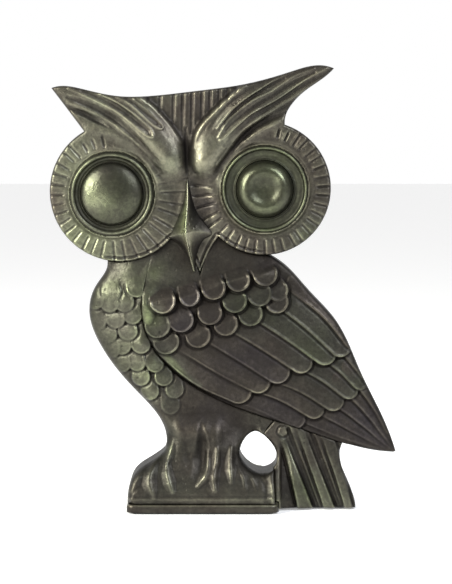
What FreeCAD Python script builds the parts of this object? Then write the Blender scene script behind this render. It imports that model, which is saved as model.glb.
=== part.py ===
"""Owl relief figurine, about 147 mm tall, in antiqued cast brass.

The owl is a set of hollow relief castings: head, body with legs, feet and mound, wing, and tail.
They meet edge to edge and are screwed from behind to one sawn back plate. Turned eye bezels and
polished eye domes are set in the head, and the beak is a separate casting on a shank. The owl
stands on a base plate, screwed up into the mound, with a felt pad beneath.

Frame: millimetres, +Z up, +X to the viewer's right, the owl faces -Y. The origin is on the
surface that the figurine stands on, below the middle of its outline. Left and right in the
names are the viewer's.
"""
import FreeCAD
import Part

import math
import os

Vec = FreeCAD.Vector

# ---------------------------------------------------------------- driving dimensions
RIM_Y = 6.0             # plane of the rear rims of all castings
PLATE_T = 1.5           # back plate
FRONT_WALL = 3.0        # thickness of a casting's front wall
SIDE_WALL = 2.6         # thickness of a casting's side wall
FELT_T = 0.6            # felt pad
FELT_INSET = 1.6        # how far the felt stays inside what it carries
BASE_TOP_Z = 3.2        # top of the base plate
BASE_LEFT_X = -32.2
BASE_RIGHT_X = 18.0
BASE_HALF_Y = 15.0
BASE_CORNER_R = 2.5
MOUND_FRONT_Y = -14.2
LEDGE_R = 9.0           # rounding of the mound's upper front edge
LEDGE_Z = 7.2           # height of the rounding's axis
TAIL_FRONT_Y = -3.4
TAIL_FOOT_X = 43.8      # right-hand end of the tail's foot
HEAD_FRONT_Y = -6.0
DISC_LAND_Y = -7.4      # front of the fluted facial discs

# Facial discs: centre x, centre z, outer radius; then the bezel and dome radii in each.
LEFT_DISC = (-35.1, 104.4, 22.3)
RIGHT_DISC = (13.2, 107.0, 21.9)
LEFT_EYE = {"x": -36.9, "z": 105.3, "bezel_r": 13.9, "dome_r": 10.2}
RIGHT_EYE = {"x": 13.3, "z": 106.9, "bezel_r": 14.3, "dome_r": 9.4}
SOCKET_FLOOR_Y = -5.0
SOCKET_PAD_T = 0.6      # turned pad behind each socket, for the washer
BEZEL_FLOOR_T = 1.2
BEZEL_RIM_W = 3.0
BEZEL_RIM_TOP_Y = -9.7
DOME_TOP_Y = -12.2
STUD_R = 1.5
WASHER_T = 0.5
NUT_T = 2.4
HOLE_SLACK = 0.05       # radial slack between a shank and the plain hole that it passes

# Machine screws of the back plate: shank, countersunk head and length.
SCREW_R = 1.5
SCREW_HEAD_R = 2.8
SCREW_LEN = 8.0
BOSS_R = 3.2
HEAD_SCREWS = [(-33.0, 128.2), (6.5, 130.0), (-12.2, 117.0)]
BODY_SCREWS = [(-34.5, 67.0), (-25.0, 46.5), (-8.0, 31.5)]
WING_SCREWS = [(-10.0, 70.0), (14.0, 58.0), (31.0, 41.0)]
TAIL_SCREWS = [(30.5, 13.0)]

# Screws up through the base plate into the mound.
BASE_SCREW_R = 2.0
BASE_SCREW_HEAD_R = 3.8
BASE_SCREW_TOP_Z = 12.5
BASE_SCREWS = [(-21.0, -5.0), (7.0, -5.0)]

BEAK_PIN = (-12.0, 97.0)
BEAK_PIN_R = 1.6
TAIL_RIVET = (19.6, 26.2)
TAIL_RIVET_R = 0.9
TAIL_RIVET_HEAD_R = 1.5


# ---------------------------------------------------------------- helpers
def at(x, z, y=0.0):
    """A point given as the viewer sees it, x and z, with its depth last."""
    return Vec(x, y, z)


def curve(*points):
    spline = Part.BSplineCurve()
    spline.interpolate([at(*p) for p in points])
    return spline.toShape()


def line(a, b):
    return Part.LineSegment(at(*a), at(*b)).toShape()


def polyline(*points):
    return [line(a, b) for a, b in zip(points, points[1:])]


def arc(a, middle, b):
    return Part.Arc(at(*a), at(*middle), at(*b)).toShape()


def prism(edges, y_front, y_back):
    """The solid behind an outline in the XZ plane, between two depths."""
    face = Part.Face(Part.Wire(edges))
    face.translate(Vec(0, y_front, 0))
    return face.extrude(Vec(0, y_back - y_front, 0))


def rod(x, z, r, y_front, y_back):
    """A round bar along Y."""
    return Part.makeCylinder(r, y_back - y_front, at(x, z, y_front), Vec(0, 1, 0))


def cone_between(a, b, r_a, r_b):
    """A tapered bar from point a to point b, with ball ends."""
    run = b - a
    bar = Part.makeCone(r_a, r_b, run.Length, a, run)
    return bar.fuse([Part.makeSphere(r_a, a), Part.makeSphere(r_b, b)])


def on_disc(disc, angle, r):
    """The point at a radius and an angle, in degrees, on a facial disc or an eye."""
    a = math.radians(angle)
    return disc[0] + r * math.cos(a), disc[1] + r * math.sin(a)


def turned(x, z, profile):
    """A solid of revolution about the Y line through (x, z). The profile lists (radius, depth)."""
    points = [Vec(x + r, y, z) for r, y in profile]
    face = Part.Face(Part.makePolygon(points + points[:1]))
    return face.revolve(at(x, z), Vec(0, 1, 0), 360)


def barrel(crown, raised=0.0):
    """A long cylinder whose front line runs over two points at their depths.

    The crown is (point, depth, point, depth, radius); raised moves it towards the viewer.
    """
    a, front_a, b, front_b, radius = crown
    start = at(*a, front_a - raised + radius)
    end = at(*b, front_b - raised + radius)
    run = (end - start).normalize()
    reach = 120.0
    return Part.makeCylinder(radius, 2 * reach + (end - start).Length, start - run * reach, run)


def front_of(crown, x, z):
    """The depth of a barrel's front surface at (x, z)."""
    a, front_a, b, front_b, radius = crown
    run_x, run_z = b[0] - a[0], b[1] - a[1]
    length = math.hypot(run_x, run_z)
    along = ((x - a[0]) * run_x + (z - a[1]) * run_z) / length ** 2
    aside = ((x - a[0]) * run_z - (z - a[1]) * run_x) / length
    return front_a + along * (front_b - front_a) + radius - math.sqrt(radius ** 2 - aside ** 2)


def shoulders(raised=0.0):
    """Rounds the top of body and wing back under the head, above SHOULDER_Z."""
    cap = barrel(SHOULDER_CROWN, raised)
    return cap.fuse(Part.makeBox(160, 60, 80, Vec(-80, -30, SHOULDER_Z - 80)))


def skin(crown, x, z):
    """The depth of the rounded front at (x, z), with the shoulders taken into account."""
    y = front_of(crown, x, z)
    return max(y, front_of(SHOULDER_CROWN, x, z)) if z > SHOULDER_Z else y


def feather(root, tip, width):
    """The outline of a long feather, straight-sided with a round tip, through all depths."""
    run = (at(*tip) - at(*root)).normalize()
    side = Vec(-run.z, 0, run.x) * (width / 2)
    end = at(*tip) - run * (width / 2)
    corners = [at(*root) - side, end - side, end + side, at(*root) + side]
    edges = [Part.LineSegment(corners[0], corners[1]).toShape(),
             Part.Arc(corners[1], at(*tip), corners[2]).toShape(),
             Part.LineSegment(corners[2], corners[3]).toShape(),
             Part.LineSegment(corners[3], corners[0]).toShape()]
    return prism(edges, -20.0, 0.0)


def scale(crown, x, z, r, heading, thickness=1.2, tilt=11.0):
    """A round scale that lies on the skin like a roof tile, its lower edge lifted."""
    a, t = math.radians(heading), math.radians(tilt)
    outward = Vec(-math.sin(t) * math.cos(a), -math.cos(t), -math.sin(t) * math.sin(a))
    middle = at(x, z, skin(crown, x, z) + 0.9 * thickness)
    return Part.makeCylinder(r, thickness, middle, outward)


def groove(a, b, width, y_front, depth):
    """A straight V cut from point a to point b, open at the front."""
    run = (at(*b) - at(*a)).normalize()
    side = Vec(-run.z, 0, run.x) * (width / 2)
    corners = [at(*a) + side, at(*a) - side]
    top = [c + Vec(0, y_front, 0) for c in corners]
    tip = at(*a) + Vec(0, y_front + depth, 0)
    face = Part.Face(Part.makePolygon([top[0], top[1], tip, top[0]]))
    return face.extrude(at(*b) - at(*a))


def drilled_boss(shell, spots, floor_y):
    """Adds screw bosses inside a casting and drills them from the rear."""
    bosses = [rod(x, z, BOSS_R, floor_y, RIM_Y) for x, z in spots]
    holes = [rod(x, z, SCREW_R + HOLE_SLACK, RIM_Y + PLATE_T - SCREW_LEN - 0.3, RIM_Y)
             for x, z in spots]
    return shell.fuse(bosses).cut(Part.makeCompound(holes))


def save(shape, name):
    shape = shape.removeSplitter()
    shape.exportStep(f"parts/{name}.step")
    print(f"{name}: {len(shape.Solids)} solid(s), {shape.Volume / 1000:.2f} cm3, valid {shape.isValid()}")
    return shape


# ---------------------------------------------------------------- outlines
def head_outline():
    left_tip, right_tip = (-56.7, 140.0), (36.0, 146.4)
    right_notch, left_notch = (19.9, 128.0), (-46.0, 125.8)
    chin_right, chin_tip, chin_left = (-2.0, 91.3), (-8.0, 78.0), (-17.2, 90.9)
    return [
        curve(left_tip, (-53.0, 140.7), (-47.0, 139.8), (-34.5, 137.3), (-24.0, 137.4),
              (-8.6, 139.1), (6.5, 141.2), (21.7, 145.3), (32.0, 147.4), right_tip),
        curve(right_tip, (32.2, 143.0), (26.6, 139.1), (22.6, 135.2), (20.2, 131.0), right_notch),
        arc(right_notch, (35.1, 107.0), chin_right),
        curve(chin_right, (-5.4, 85.4), chin_tip),
        curve(chin_tip, (-11.4, 85.4), chin_left),
        arc(chin_left, (-57.348, 104.4), left_notch),
        line(left_notch, left_tip),
    ]


def wing_outline():
    inside_head, tip, shoulder = (-22.0, 92.0), (57.4, 19.0), (13.8, 85.4)
    return [
        curve(inside_head, (-24.5, 82.9), (-27.1, 70.3), (-26.6, 62.5), (-19.3, 48.7),
              (-10.7, 41.7), (0.9, 35.7), (16.8, 30.0)),
        curve((16.8, 30.0), (31.8, 24.9), (38.8, 22.5), tip),
        curve(tip, (53.6, 29.3), (45.1, 46.7), (37.4, 62.7), (28.4, 72.7), (21.1, 80.7), shoulder),
        *polyline(shoulder, (10.0, 95.0), inside_head),
    ]


def mound_side():
    """The left side of the mound, from the ankle down to the base plate."""
    return [(-20.0, 19.8), (-25.4, 15.9), (-30.4, 11.6), (-31.7, 7.6), (-32.0, BASE_TOP_Z)]


def body_outline():
    neck = (-39.2, 86.0)
    return [
        curve(neck, (-39.4, 79.6), (-42.6, 74.8), (-44.9, 66.0), (-41.4, 55.2), (-29.7, 39.9),
              (-20.0, 27.6), (-19.2, 23.5), *mound_side()),
        *polyline(mound_side()[-1], (16.8, BASE_TOP_Z), (16.4, 14.5), (12.9, 25.4), (16.8, 30.0),
                  (20.0, 60.0), (-10.0, 92.0), neck),
    ]


def tail_outline():
    root, corner = (12.9, 25.4), (TAIL_FOOT_X, FELT_T)
    return [
        *polyline(root, (16.4, 14.5), (16.8, BASE_TOP_Z), (BASE_RIGHT_X, BASE_TOP_Z),
                  (BASE_RIGHT_X, FELT_T), corner),
        curve(corner, (40.3, 11.5), (38.6, 17.5), (40.4, 24.0)),
        *polyline((40.4, 24.0), (30.0, 34.0), (16.8, 30.0), root),
    ]


def gap_outline():
    """The egg-shaped gap between the leg and the tail."""
    spline = Part.BSplineCurve()
    points = [(10.3, 26.0), (6.3, 22.9), (5.3, 19.2), (7.8, 15.0), (13.0, 12.9), (17.2, 15.4),
              (17.2, 19.6), (14.6, 23.6)]
    spline.interpolate([at(*p) for p in points], True)
    return [spline.toShape()]


# Rounded fronts, each as (point, depth, point, depth, radius): see barrel().
BREAST_CROWN = ((-31.0, 78.0), -7.8, (-8.0, 24.0), -7.6, 30.0)
WING_CROWN = ((-4.0, 68.0), -8.2, (52.0, 24.0), -3.8, 130.0)
SHOULDER_Z = 60.0
SHOULDER_CROWN = ((-30.0, SHOULDER_Z), -9.4, (30.0, SHOULDER_Z), -9.4, 50.0)

CUT_FRONT_Y, CUT_BACK_Y = -30.0, 30.0
HEAD_CUTTER = prism(head_outline(), CUT_FRONT_Y, CUT_BACK_Y)
WING_CUTTER = prism(wing_outline(), CUT_FRONT_Y, CUT_BACK_Y)
GAP_CUTTER = prism(gap_outline(), CUT_FRONT_Y, CUT_BACK_Y)


# ---------------------------------------------------------------- head
def brow(sections):
    """A horn-shaped brow: ovals (x, z, half width, half depth, heading) joined by a loft."""
    rings = []
    for x, z, half_w, half_d, heading in sections:
        a = math.radians(heading)
        across = Vec(-math.sin(a), 0, math.cos(a)) * half_w
        outward = Vec(0, -half_d, 0)
        middle = at(x, z, HEAD_FRONT_Y + 1.0)
        turns = [math.radians(t) for t in range(0, 360, 45)]
        oval = Part.BSplineCurve()
        oval.interpolate([middle + across * math.cos(t) + outward * math.sin(t) for t in turns], True)
        rings.append(Part.Wire(oval.toShape()))
    return Part.makeLoft(rings, True, False)


def head_casting():
    head = prism(head_outline(), HEAD_FRONT_Y, RIM_Y)
    for disc in (LEFT_DISC, RIGHT_DISC):
        land = rod(disc[0], disc[1], disc[2] - 1.2, DISC_LAND_Y, HEAD_FRONT_Y + 1.0)
        head = head.fuse(land.common(HEAD_CUTTER))

    left_brow = brow([(-15.5, 113.5, 4.4, 4.2, 118), (-19.5, 120.0, 6.2, 6.2, 130),
                      (-27.0, 127.0, 6.4, 5.6, 145), (-37.5, 132.8, 5.0, 4.6, 152),
                      (-46.5, 136.5, 3.4, 3.4, 158), (-54.6, 139.4, 1.2, 1.6, 160)])
    right_brow = brow([(-8.0, 114.0, 4.4, 4.2, 62), (-4.5, 121.0, 6.2, 6.2, 50),
                       (3.5, 129.5, 6.6, 5.6, 42), (14.0, 137.2, 5.0, 4.6, 34),
                       (24.5, 142.8, 3.2, 3.4, 28), (34.0, 146.2, 1.1, 1.6, 22)])
    brows = left_brow.fuse(right_brow)
    head = head.fuse(brows.common(HEAD_CUTTER))

    cuts = []
    for disc, eye in ((LEFT_DISC, LEFT_EYE), (RIGHT_DISC, RIGHT_EYE)):
        cuts.append(rod(eye["x"], eye["z"], eye["bezel_r"], DISC_LAND_Y - 1.0, SOCKET_FLOOR_Y))
        cuts.append(rod(eye["x"], eye["z"], STUD_R + HOLE_SLACK, SOCKET_FLOOR_Y, RIM_Y))
    head = head.cut(Part.makeCompound(cuts))

    flutes = []
    for disc, eye, first, last in ((LEFT_DISC, LEFT_EYE, 112, 382), (RIGHT_DISC, RIGHT_EYE, -202, 68)):
        for angle in range(first, last, 9):
            inner = on_disc((eye["x"], eye["z"]), angle, eye["bezel_r"] + 1.2)
            outer = on_disc(disc, angle, disc[2] + 1.0)
            flutes.append(groove(inner, outer, 1.1, DISC_LAND_Y - 0.1, 0.9))
    for x, z in ((-20, 133), (-17, 129), (-14, 126), (-11, 125), (-8, 128), (-5, 131), (-2, 134)):
        flutes.append(groove((x, z), (x + 0.4, z + 16), 1.1, HEAD_FRONT_Y - 0.1, 0.9))
    head = head.cut(Part.makeCompound(flutes))

    pocket_front = HEAD_FRONT_Y + FRONT_WALL
    pocket = prism(polyline((-50.0, 133.5), (-33.0, 133.2), (-12.0, 134.0), (8.0, 136.5),
                            (18.0, 136.5), (14.0, 118.0), (-2.0, 94.5), (-20.0, 94.5),
                            (-36.0, 118.0), (-50.0, 133.5)), pocket_front, RIM_Y)
    for disc in (LEFT_DISC, RIGHT_DISC):
        pocket = pocket.fuse(rod(disc[0], disc[1], disc[2] - SIDE_WALL, pocket_front, RIM_Y))
    solid_front = prism(head_outline(), HEAD_FRONT_Y, pocket_front)
    head = head.cut(pocket.cut(solid_front))
    head = head.fuse([rod(eye["x"], eye["z"], 4.4, pocket_front - 0.5, pocket_front + SOCKET_PAD_T)
                      .cut(rod(eye["x"], eye["z"], STUD_R + HOLE_SLACK, -10, RIM_Y))
                      for eye in (LEFT_EYE, RIGHT_EYE)])
    head = head.cut(rod(*BEAK_PIN, BEAK_PIN_R + HOLE_SLACK, HEAD_FRONT_Y - 5, RIM_Y))
    head = head.cut(beak_stone())
    return drilled_boss(head, HEAD_SCREWS, pocket_front - 0.5)


def eye_bezel(eye):
    """A turned cup: a raised rolled rim round a moat, on a thin floor bored for the dome's stud."""
    r = eye["bezel_r"] - HOLE_SLACK
    floor = SOCKET_FLOOR_Y - BEZEL_FLOOR_T
    ring = turned(eye["x"], eye["z"], [
        (STUD_R + HOLE_SLACK, SOCKET_FLOOR_Y), (r, SOCKET_FLOOR_Y), (r, BEZEL_RIM_TOP_Y + 1.2),
        (r - 0.8, BEZEL_RIM_TOP_Y + 0.2), (r - 1.5, BEZEL_RIM_TOP_Y),
        (r - 2.2, BEZEL_RIM_TOP_Y + 0.5), (r - BEZEL_RIM_W, floor),
        (STUD_R + HOLE_SLACK, floor)])
    return ring


def washer_front():
    return HEAD_FRONT_Y + FRONT_WALL + SOCKET_PAD_T


def eye_dome(eye):
    """A polished dome, part of a sphere, with a stud behind it."""
    seat = SOCKET_FLOOR_Y - BEZEL_FLOOR_T
    rise = seat - DOME_TOP_Y
    ball_r = (eye["dome_r"] ** 2 + rise ** 2) / (2 * rise)
    centre = at(eye["x"], eye["z"], DOME_TOP_Y + ball_r)
    keep = rod(eye["x"], eye["z"], eye["dome_r"] + 1.0, DOME_TOP_Y - 1.0, seat)
    dome = Part.makeSphere(ball_r, centre).common(keep)
    stud_end = washer_front() + WASHER_T + NUT_T + 0.8
    return dome.fuse(rod(eye["x"], eye["z"], STUD_R, seat - 1.0, stud_end))


def eye_washer(eye):
    front = washer_front()
    bore = rod(eye["x"], eye["z"], STUD_R + HOLE_SLACK, front - 1, front + 2)
    return rod(eye["x"], eye["z"], 3.5, front, front + WASHER_T).cut(bore)


def eye_nut(eye):
    """A hexagon nut on the stud, behind the washer."""
    front = washer_front() + WASHER_T
    corners = [on_disc((eye["x"], eye["z"]), a, 3.1) for a in range(0, 361, 60)]
    bore = rod(eye["x"], eye["z"], STUD_R + HOLE_SLACK, front - 1, front + 4)
    return prism(polyline(*corners), front, front + NUT_T).cut(bore)


def beak_stone():
    """The part of the beak that shows: keeled, and hollowed along its lower edges."""
    seat = HEAD_FRONT_Y
    top, left, right, tip = (at(-12.1, 110.0, seat), at(-16.6, 91.6, seat), at(-3.9, 92.2, seat),
                             at(-9.2, 80.4, seat))
    low_left, low_right = at(-11.9, 86.6, seat), at(-8.0, 86.8, seat)
    keel_top, keel, keel_tip = (at(-12.0, 108.0, -8.4), at(-12.2, 93.6, -14.4),
                                at(-9.6, 81.6, -10.2))
    sides = [(top, left, keel_top), (left, keel, keel_top), (left, low_left, keel),
             (low_left, keel_tip, keel), (low_left, tip, keel_tip),
             (right, top, keel_top), (keel, right, keel_top), (low_right, right, keel),
             (keel_tip, low_right, keel), (tip, low_right, keel_tip),
             (top, right, low_right, tip, low_left, left)]
    faces = [Part.Face(Part.makePolygon([*side, side[0]])) for side in sides]
    stone = Part.Solid(Part.makeShell(faces))
    if stone.Volume < 0:
        stone.reverse()
    return stone


def beak():
    """The beak on its shank, which is peened over behind the head's front wall."""
    inner = HEAD_FRONT_Y + FRONT_WALL
    shank = rod(*BEAK_PIN, BEAK_PIN_R, HEAD_FRONT_Y - 2.0, inner)
    peened = rod(*BEAK_PIN, BEAK_PIN_R + 0.9, inner, inner + 0.9)
    return beak_stone().fuse([shank, peened])


# ---------------------------------------------------------------- body
def toes():
    """Two feet: each toe runs from the ankle over the mound's edge and ends in a claw."""
    runs = [
        # ankle (x, z), knuckle (x, z), claw (x, z)
        ((-18.6, 21.5), (-25.2, 13.6), (-27.8, 8.8)),
        ((-17.8, 22.5), (-22.6, 13.8), (-22.8, 7.6)),
        ((-16.6, 20.5), (-17.6, 12.8), (-16.8, 8.0)),
        ((-5.4, 18.5), (-5.9, 12.6), (-8.6, 9.2)),
        ((-2.0, 20.0), (-3.2, 13.4), (-3.0, 8.0)),
        ((2.3, 20.0), (2.1, 13.4), (2.4, 9.0)),
    ]
    made = []
    for ankle, knuckle, claw in runs:
        a, k, c = at(*ankle, -7.0), at(*knuckle, MOUND_FRONT_Y + 0.9), at(*claw, MOUND_FRONT_Y)
        made.append(cone_between(a, k, 1.8, 1.5).fuse(cone_between(k, c, 1.5, 0.45)))
    return made


def breast_scales():
    """Rows of scales down the breast: each row gives its first scale and how many follow."""
    rows = [(-39.6, 76.0, 3), (-37.6, 71.6, 2), (-41.6, 67.0, 3), (-38.6, 62.6, 3),
            (-40.0, 58.0, 3), (-34.8, 53.6, 2), (-35.6, 49.0, 3), (-29.4, 44.6, 2),
            (-28.0, 40.0, 2)]
    return [scale(BREAST_CROWN, x + 5.9 * k, z - 0.7 * k, 3.3, -82)
            for x, z, count in rows for k in range(count)]


def legs():
    return [Part.makeCone(6.8, 6.6, 33.0, Vec(x, -0.6, 46.0), Vec(0.05, -0.1, -1))
            for x in (-13.6, -1.4)]


def body_casting():
    outline = prism(body_outline(), -20.0, RIM_Y)
    body = outline.common(barrel(BREAST_CROWN)).common(shoulders())
    body = body.fuse([piece.common(outline) for piece in breast_scales() + legs()])

    mound = prism([curve(*mound_side()),
                   *polyline(mound_side()[-1], (16.8, BASE_TOP_Z), (16.4, 12.8), (-3.0, 17.0),
                             mound_side()[0])], MOUND_FRONT_Y, RIM_Y)
    axis_y = MOUND_FRONT_Y + LEDGE_R
    ledge = Part.makeCylinder(LEDGE_R, 80.0, Vec(-40, axis_y, LEDGE_Z), Vec(1, 0, 0))
    below = Part.makeBox(80.0, 30.0, LEDGE_Z - BASE_TOP_Z, Vec(-40, MOUND_FRONT_Y, BASE_TOP_Z))
    rear = Part.makeBox(80.0, 20.0, 30.0, Vec(-40, axis_y, 0.0))
    mound = mound.common(ledge.fuse([below, rear]))
    body = body.fuse([mound, *toes()])

    pocket = prism(polyline((-36.0, 76.0), (-41.5, 66.0), (-37.5, 54.5), (-19.5, 30.0),
                            (-15.5, 23.0), (2.0, 23.0), (7.0, 29.0), (-2.0, 33.5), (-13.0, 39.0),
                            (-22.0, 46.5), (-29.6, 62.5), (-29.8, 70.0), (-28.5, 76.0),
                            (-36.0, 76.0)), -3.0, RIM_Y)
    body = body.cut(pocket)
    body = body.cut(Part.makeCompound([HEAD_CUTTER, WING_CUTTER, GAP_CUTTER]))
    body = drilled_boss(body, BODY_SCREWS, -3.5)
    return body.cut(Part.makeCompound([
        Part.makeCylinder(BASE_SCREW_R + HOLE_SLACK, BASE_SCREW_TOP_Z + 0.3 - BASE_TOP_Z,
                          Vec(x, y, BASE_TOP_Z)) for x, y in BASE_SCREWS]))


# ---------------------------------------------------------------- wing
COVERT_SCALES = [
    (-19.6, 68.6), (-13.0, 64.2), (-2.2, 73.0), (5.8, 75.0), (14.2, 77.0), (20.0, 72.4),
    (-20.4, 60.2), (-16.6, 55.6), (-5.0, 65.2), (4.6, 69.0), (12.6, 71.4), (2.2, 62.2),
    (10.2, 65.8), (19.4, 67.4), (-6.8, 58.6)]

# Long feathers as (root, tip, width), tier by tier from the shoulder to the wing's tip.
SECONDARIES = [((19.0, 68.6), (40.6, 51.8), 5.0), ((12.4, 64.8), (35.6, 49.8), 5.2),
               ((6.6, 60.6), (27.4, 46.8), 5.2), ((-1.0, 57.0), (20.0, 43.6), 5.2),
               ((-9.6, 55.0), (13.0, 40.0), 5.2), ((-18.0, 52.4), (7.0, 37.2), 4.6)]
TERTIARIES = [((33.0, 52.6), (47.0, 41.6), 4.2), ((27.0, 49.6), (43.0, 38.4), 4.4),
              ((20.0, 46.2), (38.2, 34.6), 4.6), ((12.4, 42.4), (31.2, 31.6), 4.6),
              ((6.4, 38.2), (24.6, 29.4), 4.4)]
PRIMARIES = [((41.8, 42.6), (53.4, 26.4), 3.2), ((37.6, 38.6), (53.6, 22.6), 3.0),
             ((33.0, 34.6), (52.4, 20.8), 3.0), ((26.0, 31.4), (48.6, 20.6), 3.0)]


def wing_casting():
    outline = prism(wing_outline(), -20.0, RIM_Y)
    wing = outline.common(barrel(WING_CROWN)).common(shoulders())
    layers = []
    for tier, raised in ((PRIMARIES, 0.6), (TERTIARIES, 1.2), (SECONDARIES, 1.8)):
        for root, tip, width in tier:
            layers.append(feather(root, tip, width).common(barrel(WING_CROWN, raised)))
    for x, z in COVERT_SCALES:
        layers.append(scale(WING_CROWN, x, z, 4.4, -58, 2.4, 14.0))
    wing = wing.fuse([layer.common(outline) for layer in layers])
    pocket = prism(polyline((-22.0, 75.5), (-23.8, 70.0), (-23.2, 63.5), (-17.0, 51.5),
                            (-9.0, 45.0), (2.0, 39.2), (17.5, 33.6), (33.0, 28.5), (42.0, 27.0),
                            (43.5, 41.5), (35.0, 60.0), (25.5, 70.6), (20.0, 75.5),
                            (-22.0, 75.5)), -2.0, RIM_Y)
    wing = wing.cut(pocket)
    wing = wing.cut(HEAD_CUTTER)
    return drilled_boss(wing, WING_SCREWS, -2.5)


# ---------------------------------------------------------------- tail
def tail_casting():
    tail = prism(tail_outline(), TAIL_FRONT_Y, RIM_Y)
    cutter = prism(tail_outline(), CUT_FRONT_Y, CUT_BACK_Y)
    ridges = []
    for top, bottom, r_top, r_bottom in (((20.2, 26.0), (28.2, -1.0), 1.6, 2.8),
                                         ((25.6, 28.0), (35.6, -1.0), 1.3, 2.0),
                                         ((33.0, 26.0), (43.0, -1.0), 1.2, 1.5),
                                         ((22.6, 26.0), (31.8, -1.0), 0.5, 0.8),
                                         ((29.0, 26.0), (39.2, -1.0), 0.5, 0.8)):
        run = at(*bottom, TAIL_FRONT_Y) - at(*top, TAIL_FRONT_Y)
        ridges.append(Part.makeCone(r_top, r_bottom, run.Length, at(*top, TAIL_FRONT_Y), run))
    ridges = ridges[0].fuse(ridges[1:]).common(cutter)
    tail = tail.fuse(ridges)
    pocket = prism(polyline((22.0, 24.0), (19.6, 18.0), (20.0, 4.0), (40.0, 4.0), (35.6, 18.0),
                            (36.0, 20.0), (22.0, 24.0)), TAIL_FRONT_Y + FRONT_WALL, RIM_Y)
    tail = tail.cut(pocket)
    tail = tail.cut(Part.makeCompound([WING_CUTTER, GAP_CUTTER]))
    tail = tail.cut(rod(*TAIL_RIVET, TAIL_RIVET_R + HOLE_SLACK, -20, 20))
    tail = tail.cut(rod(*TAIL_RIVET, TAIL_RIVET_HEAD_R + HOLE_SLACK, -20, TAIL_FRONT_Y))
    return drilled_boss(tail, TAIL_SCREWS, TAIL_FRONT_Y + FRONT_WALL - 0.5)


def tail_rivet():
    """A round-headed rivet through the root of the tail and the back plate, closed at the rear."""
    rear = RIM_Y + PLATE_T
    head = Part.makeSphere(TAIL_RIVET_HEAD_R, at(*TAIL_RIVET, TAIL_FRONT_Y)).common(
        rod(*TAIL_RIVET, TAIL_RIVET_HEAD_R, TAIL_FRONT_Y - 3, TAIL_FRONT_Y))
    shank = rod(*TAIL_RIVET, TAIL_RIVET_R, TAIL_FRONT_Y - 0.5, rear)
    closed = rod(*TAIL_RIVET, TAIL_RIVET_HEAD_R, rear, rear + 0.7)
    return head.fuse([shank, closed])


# ---------------------------------------------------------------- base, back plate, fasteners, felt
def rounded_slab(x0, x1, half_y, z0, z1, r):
    slab = Part.makeBox(x1 - x0, 2 * half_y, z1 - z0, Vec(x0, -half_y, z0))
    upright = [e for e in slab.Edges if abs(e.Vertexes[0].Z - e.Vertexes[1].Z) > (z1 - z0) / 2]
    return slab.makeFillet(r, upright)


def base_plate():
    slab = rounded_slab(BASE_LEFT_X, BASE_RIGHT_X, BASE_HALF_Y, FELT_T, BASE_TOP_Z, BASE_CORNER_R)
    rim = [e for e in slab.Edges if min(v.Z for v in e.Vertexes) > BASE_TOP_Z - 0.01]
    slab = slab.makeFillet(0.5, rim)
    tail_room = prism(tail_outline(), TAIL_FRONT_Y - 4.0, RIM_Y + PLATE_T + 0.1)
    slab = slab.cut(tail_room)
    holes = []
    for x, y in BASE_SCREWS:
        holes.append(Part.makeCylinder(BASE_SCREW_R + HOLE_SLACK, 10, Vec(x, y, 0)))
        holes.append(Part.makeCone(BASE_SCREW_HEAD_R + HOLE_SLACK, BASE_SCREW_R + HOLE_SLACK,
                                   BASE_SCREW_HEAD_R - BASE_SCREW_R, Vec(x, y, FELT_T)))
    return slab.cut(holes[0].fuse(holes[1:]))


def base_screws():
    made = []
    for x, y in BASE_SCREWS:
        shank = Part.makeCylinder(BASE_SCREW_R, BASE_SCREW_TOP_Z - FELT_T, Vec(x, y, FELT_T))
        head = Part.makeCone(BASE_SCREW_HEAD_R, BASE_SCREW_R, BASE_SCREW_HEAD_R - BASE_SCREW_R,
                             Vec(x, y, FELT_T))
        slot = Part.makeBox(2 * BASE_SCREW_HEAD_R, 0.8, 0.8, Vec(x - BASE_SCREW_HEAD_R, y - 0.4, FELT_T))
        made.append(shank.fuse(head).cut(slot))
    return Part.makeCompound(made)


def felt_pad():
    """One piece of felt under the base plate and the foot of the tail, a little inside both."""
    under_base = rounded_slab(BASE_LEFT_X + FELT_INSET, BASE_RIGHT_X - FELT_INSET,
                              BASE_HALF_Y - FELT_INSET, 0.0, FELT_T, BASE_CORNER_R)
    tongue_x, tongue_y = BASE_RIGHT_X - BASE_CORNER_R - FELT_INSET, TAIL_FRONT_Y + FELT_INSET
    under_tail = Part.makeBox(TAIL_FOOT_X - FELT_INSET - tongue_x, RIM_Y - FELT_INSET - tongue_y,
                              FELT_T, Vec(tongue_x, tongue_y, 0.0))
    return under_base.fuse(under_tail)


def screw_spots():
    return HEAD_SCREWS + BODY_SCREWS + WING_SCREWS + TAIL_SCREWS


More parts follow.
